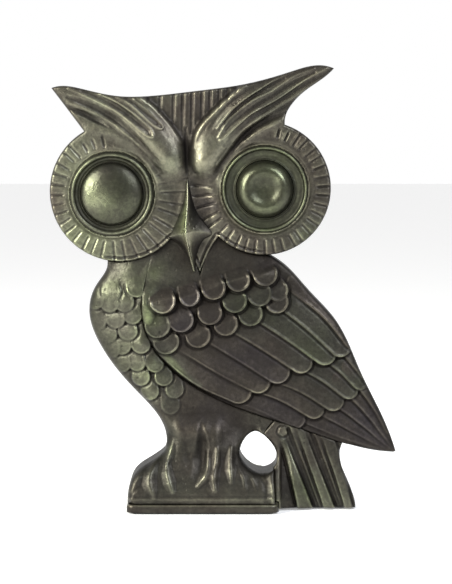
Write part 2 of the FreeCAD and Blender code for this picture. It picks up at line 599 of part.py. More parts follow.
def back_plate():
    """A sawn sheet that follows the castings 1.5 mm inside their outline."""
    def sheet(edges):
        return prism(edges, RIM_Y, RIM_Y + PLATE_T)
    foot_z = BASE_TOP_Z + 0.4
    discs = [rod(d[0], d[1], d[2] - 1.5, RIM_Y, RIM_Y + PLATE_T) for d in (LEFT_DISC, RIGHT_DISC)]
    crown = sheet(polyline((-43.0, 122.0), (-43.8, 126.4), (-52.4, 138.2), (-27.0, 135.2),
                           (7.0, 138.8), (27.0, 144.6), (22.5, 138.4), (17.4, 131.0),
                           (8.0, 92.0), (-28.0, 92.0), (-43.0, 122.0)))
    trunk = sheet([curve((-37.5, 90.0), (-38.0, 80.0), (-43.2, 68.0), (-41.0, 58.6), (-33.0, 46.5),
                         (-18.8, 28.0), (-17.4, 22.0)),
                   *polyline((-17.4, 22.0), (-28.0, 12.0), (-30.2, foot_z), (15.0, foot_z), (9.0, 28.0),
                             (15.5, 27.5), (36.0, 25.0), (54.0, 21.8)),
                   curve((54.0, 21.8), (43.5, 46.0), (36.0, 61.5), (26.0, 72.6), (14.0, 86.0)),
                   *polyline((14.0, 86.0), (0.0, 96.0), (-22.0, 96.0), (-37.5, 90.0))])
    rump = sheet(polyline((14.5, 28.0), (19.0, 17.0), (19.0, 2.5), (41.6, 2.5), (37.2, 17.0),
                          (38.0, 26.0), (14.5, 28.0)))
    plate = trunk.fuse([*discs, crown, rump])
    holes = [GAP_CUTTER, rod(*TAIL_RIVET, TAIL_RIVET_R + HOLE_SLACK, -20, 20)]
    plate = plate.cut(Part.makeCompound(holes))
    for x, z in screw_spots():
        plate = plate.cut(rod(x, z, SCREW_R + HOLE_SLACK, 0, 20).fuse(countersink(x, z, HOLE_SLACK)))
    return plate


def countersink(x, z, slack):
    rise = SCREW_HEAD_R - SCREW_R
    return Part.makeCone(SCREW_HEAD_R + slack, SCREW_R + slack, rise,
                         at(x, z, RIM_Y + PLATE_T), Vec(0, -1, 0))


def back_screws():
    made = []
    rear = RIM_Y + PLATE_T
    for x, z in screw_spots():
        screw = rod(x, z, SCREW_R, rear - SCREW_LEN, rear).fuse(countersink(x, z, 0.0))
        slot = Part.makeBox(2 * SCREW_HEAD_R, 0.7, 0.7, Vec(x - SCREW_HEAD_R, rear - 0.7, z - 0.35))
        made.append(screw.cut(slot))
    return Part.makeCompound(made)


# ---------------------------------------------------------------- make every piece
def main():
    os.makedirs("parts", exist_ok=True)
    save(head_casting(), "head_casting")
    save(beak(), "beak")
    for side, eye in (("left", LEFT_EYE), ("right", RIGHT_EYE)):
        save(eye_bezel(eye), f"{side}_eye_bezel")
        save(eye_dome(eye), f"{side}_eye_dome")
        save(eye_washer(eye), f"{side}_eye_washer")
        save(eye_nut(eye), f"{side}_eye_nut")
    save(body_casting(), "body_casting")
    save(wing_casting(), "wing_casting")
    save(tail_casting(), "tail_casting")
    save(tail_rivet(), "tail_rivet")
    save(base_plate(), "base_plate")
    save(base_screws(), "base_screws")
    save(felt_pad(), "felt_pad")
    save(back_plate(), "back_plate")
    save(back_screws(), "back_screws")


main()
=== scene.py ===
"""Looks for the owl relief figurine: castings of antiqued brass with sculpted fronts.

Each casting is a height field over the XZ plane, shaped in millimetres inside the outline of its
CAD solid, then turned into a closed mesh in metres. Heights are distances in front of y = 0,
towards the viewer, who looks along +Y.
"""

import math

import bpy
import numpy as np
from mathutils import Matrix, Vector


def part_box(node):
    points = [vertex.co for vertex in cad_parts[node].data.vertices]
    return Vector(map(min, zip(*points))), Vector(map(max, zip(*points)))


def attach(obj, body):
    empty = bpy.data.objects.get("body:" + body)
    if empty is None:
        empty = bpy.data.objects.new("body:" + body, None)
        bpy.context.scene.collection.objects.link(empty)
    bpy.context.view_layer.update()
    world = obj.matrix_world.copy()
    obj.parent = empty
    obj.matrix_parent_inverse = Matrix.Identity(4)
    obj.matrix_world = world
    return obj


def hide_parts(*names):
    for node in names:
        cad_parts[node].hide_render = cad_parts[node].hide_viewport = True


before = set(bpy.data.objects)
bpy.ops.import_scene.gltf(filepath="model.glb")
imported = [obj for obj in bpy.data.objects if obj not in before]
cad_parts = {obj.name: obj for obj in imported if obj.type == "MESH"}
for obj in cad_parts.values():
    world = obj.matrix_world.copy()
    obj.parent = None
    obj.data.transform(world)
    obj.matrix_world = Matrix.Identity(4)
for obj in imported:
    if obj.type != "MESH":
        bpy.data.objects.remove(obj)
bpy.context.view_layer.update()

MM = 0.001
PITCH = 0.3             # spacing of the height field's points
CASTINGS = ("head_casting", "body_casting", "wing_casting", "tail_casting")


# ---------------------------------------------------------------- numbers along curves and fields
def smooth_path(points, closed=False, steps=8):
    """A Catmull-Rom curve through the points."""
    p = np.array(points, float)
    if closed:
        p = np.vstack([p[-1], p, p[0], p[1]])
    else:
        p = np.vstack([2 * p[0] - p[1], p, 2 * p[-1] - p[-2]])
    t = np.linspace(0, 1, steps, endpoint=False)[:, None]
    spans = []
    for a, b, c, d in zip(p, p[1:], p[2:], p[3:]):
        spans.append(0.5 * (2 * b + (c - a) * t + (2 * a - 5 * b + 4 * c - d) * t ** 2
                            + (3 * b - a - 3 * c + d) * t ** 3))
    return np.vstack(spans + ([] if closed else [p[-2:-1]]))


def along_values(values, t):
    """Values given at even places from 0 to 1, read at t."""
    values = np.atleast_1d(np.array(values, float))
    return np.interp(t, np.linspace(0, 1, len(values)), values)


def ease(low, high, value):
    """0 below low, 1 above high, and a smooth change between."""
    t = np.clip((value - low) / (high - low), 0, 1)
    return t * t * (3 - 2 * t)


def bump(distance, half_width):
    """A rounded hump: 1 in the middle, 0 from half_width on."""
    return np.clip(1 - (distance / half_width) ** 2, 0, 1) ** 2


def smooth_max(a, b, blend):
    """The larger of two heights, with a fillet where they meet."""
    mix = np.clip(0.5 + 0.5 * (a - b) / blend, 0, 1)
    return b + (a - b) * mix + blend * mix * (1 - mix)


def barrel(X, Z, a, b, top_a, top_b, radius):
    """The height of a long round barrel whose crest runs from a to b."""
    run = np.subtract(b, a)
    length = math.hypot(*run)
    along = ((X - a[0]) * run[0] + (Z - a[1]) * run[1]) / length ** 2
    aside = np.clip(((X - a[0]) * run[1] - (Z - a[1]) * run[0]) / length, -radius, radius)
    return top_a + along * (top_b - top_a) - radius + np.sqrt(radius ** 2 - aside ** 2)


def blurred(field, sigma):
    """A Gaussian blur; sigma counts in field points."""
    reach = int(3 * sigma)
    weights = np.exp(-0.5 * (np.arange(-reach, reach + 1) / sigma) ** 2)
    weights /= weights.sum()
    for axis in (0, 1):
        spread = [(reach, reach) if axis == k else (0, 0) for k in (0, 1)]
        padded = np.pad(field, spread, mode="edge")
        size = field.shape[axis]
        field = sum(w * np.take(padded, range(k, k + size), axis=axis) for k, w in enumerate(weights))
    return field


def rough_field(X, Z, size, seed):
    """Smooth random values about 0, changing over the given size, the same in every casting."""
    rng = np.random.default_rng(seed)
    u, v = (X + 80) / size, (Z + 20) / size
    grid = rng.normal(0, 1, (int(190 / size) + 2, int(160 / size) + 2))
    i, j = v.astype(int), u.astype(int)
    fv, fu = ease(0, 1, v - i), ease(0, 1, u - j)
    low = grid[i, j] * (1 - fu) + grid[i, j + 1] * fu
    high = grid[i + 1, j] * (1 - fu) + grid[i + 1, j + 1] * fu
    return low * (1 - fv) + high * fv


def closed_loops(edges):
    """The loops of directed edges that have no opposite, each with its first end repeated."""
    following = {a: b for a, b in edges if (b, a) not in edges}
    loops = []
    while following:
        loop = [min(following)]
        while loop[-1] in following:
            loop.append(following.pop(loop[-1]))
        loops.append(loop)
    return loops


def rear_outline(node):
    """The outer edge of a casting's rear rim, as a loop of (x, z) in millimetres."""
    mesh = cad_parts[node].data
    points = np.round(np.array([v.co for v in mesh.vertices]) / MM, 3)
    rim_y = points[:, 1].max()
    edges = set()
    for face in mesh.polygons:
        corners = [tuple(points[v]) for v in face.vertices]
        if all(abs(c[1] - rim_y) < 0.01 for c in corners):
            edges.update(zip(corners, corners[1:] + corners[:1]))
    loops = [np.array(loop)[:, [0, 2]] for loop in closed_loops(edges)]
    return max(loops, key=lambda p: np.ptp(p[:, 0]) * np.ptp(p[:, 1]))


def distance_to(path, X, Z):
    """Distance, place along from 0 to 1, and signed side of each point from a path."""
    best = np.full(X.shape, 1e9)
    along, side = np.zeros(X.shape), np.zeros(X.shape)
    lengths = np.hypot(*np.diff(path, axis=0).T)
    starts = np.concatenate([[0], np.cumsum(lengths)])
    for a, b, length, start in zip(path, path[1:], lengths, starts):
        if length < 1e-9:
            continue
        run = (b - a) / length
        u = (X - a[0]) * run[0] + (Z - a[1]) * run[1]
        v = (X - a[0]) * run[1] - (Z - a[1]) * run[0]
        on = np.clip(u, 0, length)
        d = np.hypot(u - on, v)
        closer = d < best
        best = np.where(closer, d, best)
        along = np.where(closer, (start + on) / starts[-1], along)
        side = np.where(closer, v, side)
    return best, along, side


def inside(loop, X, Z):
    """Whether each point is inside a closed loop."""
    result = np.zeros(X.shape, bool)
    for (ax, az), (bx, bz) in zip(loop, np.roll(loop, -1, axis=0)):
        if az != bz:
            crosses = (az > Z) != (bz > Z)
            result ^= crosses & (X < (bx - ax) * (Z - az) / (bz - az) + ax)
    return result


OUTLINES = {node: rear_outline(node) for node in CASTINGS}


# ---------------------------------------------------------------- height fields
BLOW_HOLES = 6           # in each casting
SOFT_BLUR = 5            # field points
FAR = 99.0               # more than any distance or height here


class Relief:
    """A height field over one outline, with the tools that shape and tint it."""

    def __init__(self, outline, height, pitch=PITCH):
        self.pitch = pitch
        self.outline = np.vstack([outline, outline[:1]])
        low, high = outline.min(0) - 4 * pitch, outline.max(0) + 4 * pitch
        self.x = np.arange(low[0], high[0], pitch)
        self.z = np.arange(low[1], high[1], pitch)
        self.X, self.Z = np.meshgrid(self.x, self.z)
        away, _, _ = distance_to(self.outline, self.X, self.Z)
        self.depth = np.where(inside(outline, self.X, self.Z), away, -away)
        self.h = np.full(self.X.shape, float(height))
        self.edge_r = np.full(self.X.shape, 0.3)
        self.tone = np.zeros(self.X.shape)
        self.hue = np.zeros(self.X.shape)

    def window(self, path, reach):
        """The part of the field around a path, with distance, place along and side."""
        low, high = path.min(0) - reach, path.max(0) + reach
        rows = slice(*np.searchsorted(self.z, (low[1], high[1])))
        columns = slice(*np.searchsorted(self.x, (low[0], high[0])))
        part = (rows, columns)
        return part, *distance_to(path, self.X[part], self.Z[part])

    def ridge(self, points, width, height):
        """Adds a rounded ridge along a curve; a negative height cuts a groove."""
        path = smooth_path(points)
        part, away, t, _ = self.window(path, np.max(width))
        self.h[part] += along_values(height, t) * bump(away, along_values(width, t) / 2)

    def puff(self, points, rise, radius, soft=0.8):
        """Raises the inside of a closed curve like a cushion; rise may be a function of x and z."""
        loop = smooth_path(points, closed=True)
        part, away, _, _ = self.window(np.vstack([loop, loop[:1]]), 4)
        X, Z = self.X[part], self.Z[part]
        inner = np.where(inside(loop, X, Z), np.minimum(away / radius, 1), 0)
        amount = rise(X, Z) if callable(rise) else rise
        self.h[part] += blurred(amount * np.sqrt(1 - (1 - inner) ** 2), soft / self.pitch)

    def tile(self, ground, spine, width, lift, tilt=0.0, rim=0.25, crown=0.2, tone=0.0, hue=0.0,
             trench=0.32, root=0.0):
        """Lays a round-ended scale or feather like a roof tile over what is there.

        It shows only where it stands above its neighbours. A positive tilt lifts its left-hand side,
        seen from above its root, and the trench outside its edge parts it from what is below. Its
        edge fades in over the share of its length that root gives.
        """
        path = smooth_path(spine)
        part, away, t, side = self.window(path, np.max(width) / 2 + 1.5)
        half = along_values(width, t) / 2
        edge = half - away
        level = ground[part] + along_values(lift, t) + tilt * np.clip(side / half, -1, 1)
        top = level + crown * np.clip(edge / half, 0, 1) ** 0.6
        old = self.h[part]
        stands = ease(0.0, 0.4, level - old) * ease(root - 0.01, root + 0.35, t)
        top = top + rim * stands * bump(edge - 0.42, 0.6)
        cover = ease(-0.25, 0.15, edge)
        shown = cover * ease(0.0, 0.3, top - old)
        self.h[part] = (old + cover * (smooth_max(top, old, 0.5) - old)
                        - trench * stands * bump(edge + 0.45, 0.65))
        self.tone[part] += shown * (tone - self.tone[part])
        self.hue[part] += shown * (hue - self.hue[part])

    def paint(self, *patches):
        """Tints round patches: x, z, radius, how light, and how olive (or, below 0, purple)."""
        for x, z, radius, tone, hue in patches:
            weight = np.exp(-((self.X - x) ** 2 + (self.Z - z) ** 2) / radius ** 2)
            self.tone += weight * tone
            self.hue += weight * hue

    def soften(self, *patches):
        """Smooths what lies within round patches: x, z, radius."""
        smooth = blurred(self.h, SOFT_BLUR)
        for x, z, radius in patches:
            weight = np.exp(-(((self.X - x) ** 2 + (self.Z - z) ** 2) / radius ** 2) ** 2)
            self.h += weight * (smooth - self.h)

    def round_edge(self, node, free_radius, seam_radius):
        """Sets how far the edge is rounded over: less where another casting meets it."""
        near = np.abs(self.depth) < 2 * free_radius + 1
        seam = np.full(self.X.shape, FAR)
        for other, outline in OUTLINES.items():
            if other != node:
                away, _, _ = distance_to(np.vstack([outline, outline[:1]]), self.X[near], self.Z[near])
                seam[near] = np.minimum(seam[near], away)
        self.edge_r = seam_radius + (free_radius - seam_radius) * ease(0.6, 3.5, seam)

    def weather(self, amount):
        """The slight unevenness of a sand casting, with a few blow holes."""
        for size, share in ((6.0, 1.0), (2.0, 0.5), (0.8, 0.25)):
            self.h += amount * share * rough_field(self.X, self.Z, size, int(10 * size))
        rng = np.random.default_rng(7)
        within = np.argwhere(self.depth > 2.0)
        for i, j in within[rng.integers(len(within), size=BLOW_HOLES)]:
            away = np.hypot(self.X - self.X[i, j], self.Z - self.Z[i, j])
            self.h -= 0.3 * bump(away, rng.uniform(0.35, 0.6))

    def wear(self):
        """How proud each point stands of its surroundings, about 0.5 on plain ground."""
        mask = (self.depth > -0.5 * self.pitch).astype(float)
        proud = 0.5
        for size, gain in ((0.6, 0.5), (2.2, 0.22)):
            around = blurred(self.h * mask, size / self.pitch) / np.maximum(
                blurred(mask, size / self.pitch), 1e-3)
            proud = proud + gain * mask * (self.h - around)
        return np.clip(proud, 0, 1)


def boundary_loop(quads):
    """The one loop of edges around a patch of quads, in the quads' own direction."""
    edges = set()
    for k in range(4):
        edges.update(zip(quads[:, k].tolist(), quads[:, (k + 1) % 4].tolist()))
    return max(closed_loops(edges), key=len)[:-1]


def on_outline(outline, px, pz):
    """The nearest places on the outline to some points."""
    best = np.full(len(px), 1e9)
    nx, nz = px.copy(), pz.copy()
    for a, b in zip(outline, outline[1:]):
        run = b - a
        length = max(math.hypot(*run), 1e-9)
        t = np.clip(((px - a[0]) * run[0] + (pz - a[1]) * run[1]) / length ** 2, 0, 1)
        qx, qz = a[0] + t * run[0], a[1] + t * run[1]
        d = np.hypot(px - qx, pz - qz)
        closer = d < best
        best, nx, nz = np.where(closer, d, best), np.where(closer, qx, nx), np.where(closer, qz, nz)
    return nx, nz


def sharp_corners(outline):
    """Where the outline turns by more than about 35 degrees within a millimetre."""
    points = outline[:-1]
    before, after = points - np.roll(points, 1, axis=0), np.roll(points, -1, axis=0) - points
    turn = np.abs(np.angle((after[:, 0] + 1j * after[:, 1]) / (before[:, 0] + 1j * before[:, 1])))
    return points[turn > math.radians(35)]


def relaxed(relief, x, z, quads, loop):
    """Spreads the points near the edge evenly, with the outermost ones on the outline."""
    loop = np.array(loop)
    fixed = np.zeros(len(loop), bool)
    px, pz = on_outline(relief.outline, x[loop], z[loop])
    for corner in sharp_corners(relief.outline):
        nearest = np.argmin(np.hypot(px - corner[0], pz - corner[1]))
        px[nearest], pz[nearest] = corner
        fixed[nearest] = True
    for _ in range(6):
        sx = (np.roll(px, 1) + np.roll(px, -1)) / 2
        sz = (np.roll(pz, 1) + np.roll(pz, -1)) / 2
        sx, sz = on_outline(relief.outline, sx, sz)
        px, pz = np.where(fixed, px, sx), np.where(fixed, pz, sz)
    x, z = x.copy(), z.copy()
    x[loop], z[loop] = px, pz
    starts = np.concatenate([quads[:, k] for k in range(4)])
    ends = np.concatenate([quads[:, (k + 1) % 4] for k in range(4)])
    count = np.bincount(starts, minlength=len(x)) + np.bincount(ends, minlength=len(x))
    ring = np.zeros(len(x), int)
    ring[loop] = 1
    for step in range(2, 6):
        touched = np.bincount(starts, ring[ends] == step - 1, len(x)) + np.bincount(
            ends, ring[starts] == step - 1, len(x))
        ring[(ring == 0) & (touched > 0)] = step
    free = ring > 1
    for _ in range(12):
        mx = (np.bincount(starts, x[ends], len(x)) + np.bincount(ends, x[starts], len(x))) / count
        mz = (np.bincount(starts, z[ends], len(x)) + np.bincount(ends, z[starts], len(x))) / count
        x, z = np.where(free, mx, x), np.where(free, mz, z)
    return x, z, ring


def read_field(relief, field, x, z):
    """A field read between its points."""
    u = np.clip((x - relief.x[0]) / relief.pitch, 0, len(relief.x) - 1.001)
    v = np.clip((z - relief.z[0]) / relief.pitch, 0, len(relief.z) - 1.001)
    j, i = u.astype(int), v.astype(int)
    fu, fv = u - j, v - i
    low = field[i, j] * (1 - fu) + field[i, j + 1] * fu
    high = field[i + 1, j] * (1 - fu) + field[i + 1, j + 1] * fu
    return low * (1 - fv) + high * fv


def cast_mesh(name, relief, back_y):
    """Makes the closed mesh of a casting from its relief and gives it its wear and tint."""
    keep = relief.depth > 0.35 * relief.pitch
    cells = keep[:-1, :-1] & keep[1:, :-1] & keep[:-1, 1:] & keep[1:, 1:]
    # A cell that hangs on by one corner would pinch the loop, so such cells are dropped.
    padded = np.pad(cells, 1)
    beside = (padded[:-2, 1:-1].astype(int) + padded[2:, 1:-1] + padded[1:-1, :-2] + padded[1:-1, 2:])
    cells &= beside >= 2
    number = np.full(keep.shape, -1)
    used = np.zeros(keep.shape, bool)
    for rows, columns in ((0, 0), (0, 1), (1, 0), (1, 1)):
        used[rows:rows + cells.shape[0], columns:columns + cells.shape[1]] |= cells
    number[used] = np.arange(used.sum())
    i, j = np.nonzero(cells)
    quads = np.stack([number[i, j], number[i, j + 1], number[i + 1, j + 1], number[i + 1, j]], 1)
    loop = boundary_loop(quads)
    x, z, ring_number = relaxed(relief, relief.X[used], relief.Z[used], quads, loop)
    h = read_field(relief, relief.h, x, z)
    depth = read_field(relief, relief.depth, x, z)
    depth[ring_number == 1] = 0.0
    radius = read_field(relief, relief.edge_r, x, z)
    inner = np.clip(depth / radius, 0, 1)
    h -= 0.92 * radius * (1 - np.sqrt(1 - (1 - inner) ** 2))
    front = np.stack([x, -h, z], 1)

    walls, faces = [], []
    previous = np.array(loop)
    level_x, level_z = x[loop], z[loop]
    for share in (0.05, 0.4, 1.0):
        y = -h[loop] * (1 - share) + back_y * share
        current = len(front) + len(loop) * len(walls) + np.arange(len(loop))
        walls.append(np.stack([level_x, y, level_z], 1))
        faces.append(np.stack([previous, np.roll(previous, -1), np.roll(current, -1), current], 1)[:, ::-1])
        previous = current
    points = np.vstack([front, *walls]) * MM
    all_faces = quads.tolist() + np.vstack(faces).tolist() + [previous.tolist()[::-1]]
    mesh = bpy.data.meshes.new(name)
    mesh.from_pydata(points.tolist(), [], all_faces)
    mesh.polygons.foreach_set("use_smooth", [True] * (len(all_faces) - 1) + [False])
    extra = len(points) - len(front)
    # The side walls get a lower wear and a darker tone than plain ground: painted shade on the walls.
    for label, field, rest in (("wear", relief.wear(), 0.42), ("tone", relief.tone, -0.2),
                               ("hue", relief.hue, 0.0)):
        values = read_field(relief, field, x, z)
        add_values(mesh, label, np.concatenate([values, np.full(extra, rest)]))
    # Where castings meet in one surface, the edge keeps the slope of its front.
    seam = np.zeros(len(points), bool)
    seam[np.array(loop)[radius[loop] < 0.2]] = True
    ends = np.zeros(2 * len(mesh.edges), int)
    mesh.edges.foreach_get("vertices", ends)
    sharp = mesh.attributes.new("sharp_edge", "BOOLEAN", "EDGE")
    sharp.data.foreach_set("value", seam[ends].reshape(-1, 2).all(1))
    mesh.update()
    piece = placed(name, mesh)
    return piece


def placed(name, data):
    """A new object in the scene."""
    thing = bpy.data.objects.new(name, data)
    bpy.context.scene.collection.objects.link(thing)
    return thing


def add_values(mesh, name, values):
    attribute = mesh.attributes.new(name, "FLOAT", "POINT")
    attribute.data.foreach_set("value", np.asarray(values, np.float32))


def middle_of(node):
    """The centre of a node's box, in millimetres, as x and z."""
    low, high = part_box(node)
    return np.array([(low.x + high.x) / 2, (low.z + high.z) / 2]) / MM


def front_of(node):
    return -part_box(node)[0].y / MM


# ---------------------------------------------------------------- head
DISC_HEIGHT = 7.4
SOCKET_HEIGHT = 5.0
EYE_SEAT = 8.5           # where the domes rise from the bottom of their moats
HEAD_HEIGHT = 6.3


def eye(side):
    """Centre x, centre z and radius of an eye's bezel, from the CAD bezel."""
    low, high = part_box(f"{side}_eye_bezel")
    return (*middle_of(f"{side}_eye_bezel"), (high.x - low.x) / 2 / MM)


def fluted_disc(relief, side, centre, radius, first, last, count, land_width, lit, ear, seed):
    """A facial disc: ribs like overlapping petals around a smooth land, out to the rim.

    Angles are in degrees, ear too; lit is how proud the thin edge beside each groove stands.
    """
    x, z, bezel = eye(side)
    X, Z = relief.X, relief.Z
    from_centre = np.hypot(X - centre[0], Z - centre[1])
    land = ease(radius + 6.0, radius - 1.0, from_centre)
    relief.h += land * np.maximum(DISC_HEIGHT - relief.h, 0)
    r = np.hypot(X - x, Z - z)
    rng = np.random.default_rng(seed)
    step = (last - first) / count
    for k in range(count + 1):
        groove = first + k * step + rng.uniform(-0.9, 0.9)
        start = bezel + land_width + rng.uniform(-0.3, 0.4)
        deep, wide = rng.uniform(0.28, 0.46), rng.uniform(0.5, 0.75)
        lean = rng.uniform(-0.05, 0.05)
        turn = (np.degrees(np.arctan2(Z - z, X - x)) - groove + 180) % 360 - 180
        aside = r * np.radians(turn) + lean * (r - bezel - 3)
        rib = 0.93 * np.radians(step) * r
        near = np.abs(turn) < 14
        # The grooves below the ear are deeper and end inside the disc, the others at its rim.
        below_ear = abs(groove % 360 - ear) < 15
        reach = radius - 0.4 if below_ear else radius + 3.2
        deep *= 1.4 if below_ear else 1.0
        along = ease(start - 0.3, start + 0.9, r) * ease(reach, reach - 1.6, from_centre) * near
        relief.h -= deep * along * bump(aside, wide)
        relief.h += lit * along * bump(aside - 0.8, 0.5)
        relief.h += (lit + 0.08) * along * ease(0.0, 0.5, aside) * ease(rib, 0.5, aside)
    relief.tone += 0.05 * land * ease(bezel + land_width, bezel + land_width + 1.5, r)


def head_relief():
    relief = Relief(OUTLINES["head_casting"], HEAD_HEIGHT)
    X, Z = relief.X, relief.Z
    fluted_disc(relief, "left", (-35.1, 104.4), 21.8, 100, 382, 28, 1.5, 0.0, 110, 3)
    fluted_disc(relief, "right", (13.2, 107.0), 21.4, 168, 436, 29, 2.4, 0.12, 72, 8)

    # Forehead between the brows, with its short upright flutes.
    relief.puff([(-30, 139), (-20, 129), (-12.4, 121.5), (-4, 129), (7, 142), (-10, 143)], 0.6, 4)
    flutes = [(-25.2, 135.4), (-21.2, 132.2), (-16.8, 128.6), (-13.8, 125.8), (-10.8, 125.4),
              (-7.5, 129.0), (-4.8, 131.6), (-1.8, 134.2), (1.0, 136.4), (3.8, 138.4)]
    for x, z in flutes:
        relief.ridge([(x, z), (x + 0.2, 144)], 1.5, [-0.25, -0.6, -0.65])
        relief.ridge([(x + 1.1, z + 1), (x + 1.3, 144)], 0.7, [0.1, 0.28, 0.3])

    # Cheeks that slope from the brows down to the discs.
    relief.puff([(-50, 133), (-38, 129), (-27, 120.6), (-21, 112), (-22, 108), (-30, 119.4),
                 (-40, 124.6), (-47, 126)], 0.7, 3)
    relief.puff([(22, 134), (10, 127), (0.6, 117.6), (-3, 111), (0, 108), (7, 119.6), (16, 126),
                 (21, 128)], 0.7, 3)
    left_brow(relief)
    right_brow(relief)
    bridge(relief)
    relief.soften((-17.0, 112.2, 4.6), (-6.0, 111.4, 4.0))

    # Border that frames the head where it lies over the body.
    low = ease(95, 91, Z) * ease(-41, -36, X) * ease(15, 10, X)
    relief.h += low * (0.25 * bump(relief.depth - 0.45, 0.45) - 0.6 * bump(relief.depth - 1.25, 0.6))

    for side in ("left", "right"):
        x, z, bezel = eye(side)
        r = np.hypot(X - x, Z - z)
        relief.h -= 0.22 * bump(r - bezel - 0.5, 0.9)
        relief.h = np.where(r < bezel - 0.1, SOCKET_HEIGHT, relief.h)
    relief.round_edge("head_casting", 0.9, 0.5)
    relief.weather(0.03)
    relief.tone += 0.07 - 0.07 * ease(-20, 10, X)
    relief.paint((-46, 90, 11, 0.10, 0.8), (-52, 114, 9, 0.05, 0.25), (-57, 103, 5, -0.02, -0.5),
                 (28, 91, 9, 0.07, 0.8), (34, 106, 7, -0.03, -0.3), (-10, 133, 8, -0.10, -0.5),
                 (8, 88, 7, -0.02, -0.2), (-17, 118, 5, -0.04, 0.1), (-4, 121, 5, 0.03, 0.3),
                 (-44, 136, 9, 0.05, 0.1), (-19, 102, 5, -0.05, 0.2), (-7, 101, 5, -0.12, -0.8),
                 (25, 118, 8, -0.06, -0.3))
    return relief


def left_brow(relief):
    relief.puff([(-58, 141), (-47.5, 142), (-34, 140), (-28.4, 138.6), (-22.6, 133.6), (-17.2, 127.4),
                 (-13.4, 122.0), (-12.9, 116.0), (-14.0, 112.2), (-17.4, 110.9), (-20.6, 113.0),
                 (-24.4, 117.9), (-28.9, 122.4), (-32.9, 125.7), (-36.9, 129.0), (-41.6, 131.7),
                 (-46.3, 133.7), (-51.6, 134.4)],
                lambda X, Z: 1.2 + 2.4 * ease(-48, -20, X), 4.5)
    # The shallow furrow above the lower edge, and the long finger-shaped folds.
    relief.ridge([(-51.4, 137.0), (-45.6, 135.0), (-40.9, 132.9), (-34.2, 128.7), (-28.4, 123.4),
                  (-24.6, 118.6)], [1.8, 3.4, 3.6, 3.2, 2.0], [-0.3, -0.75, -0.8, -0.6, -0.1])
    relief.ridge([(-51.3, 134.9), (-46.3, 133.5), (-41.6, 131.5), (-36.9, 128.8), (-32.9, 125.5),
                  (-28.9, 122.2), (-24.9, 118.2), (-21.6, 114.2)], 2.4, [0.3, 0.55, 0.6, 0.5, 0.3])
    fingers = [[(-51.0, 140.0), (-45.6, 137.4), (-40.3, 135.0), (-34.9, 132.0), (-30.2, 128.4),
                (-26.2, 125.0), (-23.6, 123.9), (-23.2, 125.0), (-24.4, 127.1), (-27.5, 129.9),
                (-31.6, 133.1), (-35.6, 135.6), (-41.0, 138.2)],
               [(-38.0, 138.3), (-32.9, 136.2), (-28.9, 133.0), (-25.5, 129.7), (-22.9, 127.6),
                (-20.5, 126.6), (-20.1, 127.6), (-22.2, 129.9), (-25.5, 133.2), (-29.5, 136.2)]]
    for finger in fingers:
        relief.ridge(finger, 1.0, [0.3, 0.45, 0.45, 0.45, 0.3])
    relief.ridge([(-46.5, 139.2), (-40.0, 136.4), (-34.0, 133.2), (-28.6, 129.0), (-25.0, 125.9)],
                 [1.6, 2.6, 2.6, 1.8], [-0.3, -0.6, -0.65, -0.4])
    relief.ridge([(-33.6, 137.0), (-29.2, 134.6), (-25.4, 131.3), (-22.0, 128.4)],
                 [1.4, 2.2, 1.6], [-0.3, -0.6, -0.4])
    relief.ridge([(-34.4, 137.9), (-28.6, 135.4), (-24.4, 131.9), (-20.6, 127.9), (-18.6, 124.4)],
                 2.0, [-0.1, -0.4, -0.4, -0.1])
    relief.ridge([(-28.6, 137.4), (-23.5, 134.0), (-19.8, 130.2), (-16.6, 126.2), (-14.0, 122.2)],
                 [1.8, 2.4, 2.4, 1.8], [0.4, 0.6, 0.55, 0.2])
    # The hollow under the ear, and the dark line under the lobe.
    relief.ridge([(-50.6, 133.2), (-46.3, 131.6), (-42.0, 129.3), (-38.4, 127.3)],
                 [1.4, 2.8, 2.4, 1.2], [-0.3, -0.95, -0.8, -0.2])
    relief.ridge([(-22.8, 114.0), (-19.8, 111.0), (-15.6, 109.9), (-12.9, 111.4)], 3.0,
                 [-0.2, -0.5, -0.5, -0.3])


